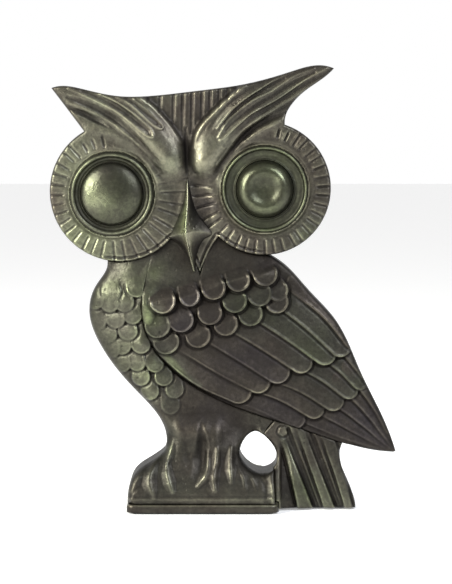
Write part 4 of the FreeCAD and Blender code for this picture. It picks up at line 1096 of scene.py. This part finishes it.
# The patina from its darkest recess to its most worn edge.
SHADES = [(0.12, (0.012, 0.0105, 0.009)), (0.36, (0.0252, 0.0236, 0.0203)), (0.52, (0.0462, 0.0438, 0.0366)),
          (0.68, (0.085, 0.083, 0.066)), (0.92, (0.21, 0.21, 0.155))]


def dress(piece, material):
    piece.data.materials.clear()
    piece.data.materials.append(material)


def dress_node(node, material):
    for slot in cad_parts[node].material_slots:
        slot.material = material


# ---------------------------------------------------------------- build
def finish_piece(piece, node, material):
    dress(piece, material)
    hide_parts(node)
    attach(piece, "root")


def build_castings(cast_brass):
    rim_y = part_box("head_casting")[1].y / MM
    reliefs = {"head_casting": head_relief, "body_casting": body_relief,
               "wing_casting": wing_relief, "tail_casting": tail_relief}
    for node, make in reliefs.items():
        piece = cast_mesh(node.replace("casting", "relief"), make(), rim_y)
        finish_piece(piece, node, cast_brass)
    beak_seat = -5.6
    finish_piece(cast_mesh("beak_relief", beak_relief(), beak_seat), "beak", cast_brass)
    finish_piece(base_piece("base_slab", "base_plate", 2.5), "base_plate", cast_brass)


def build_eyes(turned_brass, polished_brass):
    # Painted highlights and painted shade on the domes, as x and z from the centre, radius and how light. The
    # left dome has a painted highlight on its left side and painted shade on its right. The right dome has a
    # painted highlight along its lower side, a painted highlight at its upper right, and is a little lighter
    # overall.
    painted_highlights_and_shade = {"left": [(-5.4, 0.0, 5.0, 0.30), (3.0, -0.5, 2.4, -0.06), (6.0, 5.0, 4.0, -0.06)],
                  "right": [(0.0, -4.4, 4.0, 0.16), (4.6, 3.4, 1.6, 0.24), (-1.0, 1.0, 7.0, 0.05)]}
    for side, make_profile, shoulder, hue in (("left", dome_profile, 0.9, 0.8),
                                              ("right", dished_profile, 0.6, 1.1)):
        x, z, r = eye(side)
        top = front_of(f"{side}_eye_bezel")
        low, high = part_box(f"{side}_eye_dome")
        dome_r = (high.x - low.x) / 2 / MM
        rim = turned_mesh(f"{side}_eye_rim", (x, z), bezel_profile(r, top, dome_r, shoulder),
                          0.03, 5, hue)
        finish_piece(rim, f"{side}_eye_bezel", turned_brass)
        ball = turned_mesh(f"{side}_eye_ball", middle_of(f"{side}_eye_dome"),
                           make_profile(dome_r, EYE_SEAT, front_of(f"{side}_eye_dome")),
                           0.02, 9, hue, painted_highlights_and_shade[side])
        finish_piece(ball, f"{side}_eye_dome", polished_brass)


def build_materials():
    cast_brass = patina("cast_brass", SHADES)
    turned_brass = patina("turned_brass", SHADES, gain=0.9, pits=0.4)
    polished = patina("polished_brass", SHADES, rough=0.34, gain=0.9, pits=0.25)
    rivet_brass = patina("rivet_brass", SHADES, carried=False)
    sheet = brushed("sheet_brass", (0.13, 0.115, 0.075), 0.85, 0.42, (1.0, 1.0, 0.06))
    steel = brushed("steel", (0.42, 0.42, 0.41), 0.95, 0.35, (0.1, 1.0, 1.0))
    return cast_brass, turned_brass, polished, rivet_brass, sheet, steel


def add_area_light(name, place, target, size, power, colour):
    light = bpy.data.lights.new(name, "AREA")
    light.shape = "RECTANGLE"
    light.size, light.size_y = size
    light.energy = power
    light.color = colour
    lamp = placed(name, light)
    lamp.location = place
    lamp.rotation_euler = (Vector(target) - Vector(place)).to_track_quat("-Z", "Y").to_euler()


def add_studio():
    """A white studio that is dimmer where the owl faces, so that its relief reads."""
    world = bpy.data.worlds.new("studio")
    world.use_nodes = True
    nodes, links = world.node_tree.nodes, world.node_tree.links
    direction = nodes.new("ShaderNodeSeparateXYZ")
    links.new(nodes.new("ShaderNodeTexCoord").outputs["Generated"], direction.inputs[0])
    behind = nodes.new("ShaderNodeMapRange")
    for label, value in (("From Min", -0.2), ("From Max", 0.5), ("To Min", 0.42), ("To Max", 1.0)):
        behind.inputs[label].default_value = value
    links.new(direction.outputs["Y"], behind.inputs["Value"])
    links.new(behind.outputs[0], nodes["Background"].inputs["Strength"])
    nodes["Background"].inputs["Color"].default_value = (1.0, 1.0, 1.0, 1)
    bpy.context.scene.world = world
    bpy.context.scene.view_settings.view_transform = "Standard"
    mesh = bpy.data.meshes.new("floor")
    mesh.from_pydata([(-4, -4, 0), (4, -4, 0), (4, 4, 0), (-4, 4, 0)], [], [(0, 1, 2, 3)])
    floor = placed("floor", mesh)
    pale = Shading("pale_floor", {"Base Color": (0.86, 0.86, 0.86, 1), "Roughness": 0.9,
                                  "Emission Color": (1.0, 1.0, 1.0, 1), "Emission Strength": 0.3})
    dress(floor, pale.material)
    middle = (0, 0, 0.09)
    add_area_light("key", (-0.50, -0.36, 0.34), middle, (0.40, 0.40), 9.0, (1.0, 1.0, 0.90))
    add_area_light("fill", (0.34, -0.34, 0.46), middle, (0.25, 0.4), 3.4, (0.88, 0.92, 1.0))


def add_camera():
    """A long lens 0.7 m in front of the owl, 4.5 degrees above level."""
    distance, pitch = 0.7, math.radians(4.5)
    aim = Vector((0.0006, 0.0, 0.0724))
    data = bpy.data.cameras.new("camera")
    data.lens = 129.45
    data.clip_start = 0.01
    camera = placed("camera", data)
    camera.location = aim + Vector((0, -distance * math.cos(pitch), distance * math.sin(pitch)))
    camera.rotation_euler = (math.pi / 2 - pitch, 0, 0)
    bpy.context.scene.camera = camera


cast_brass, turned_brass, polished_brass, rivet_brass, sheet_brass, steel = build_materials()
build_castings(cast_brass)
build_eyes(turned_brass, polished_brass)
dress_node("tail_rivet", rivet_brass)
dress_node("back_plate", sheet_brass)
for hardware in ("back_screws", "base_screws", "left_eye_washer", "right_eye_washer",
                 "left_eye_nut", "right_eye_nut"):
    dress_node(hardware, steel)
dress_node("felt_pad", felt())
add_studio()
add_camera()
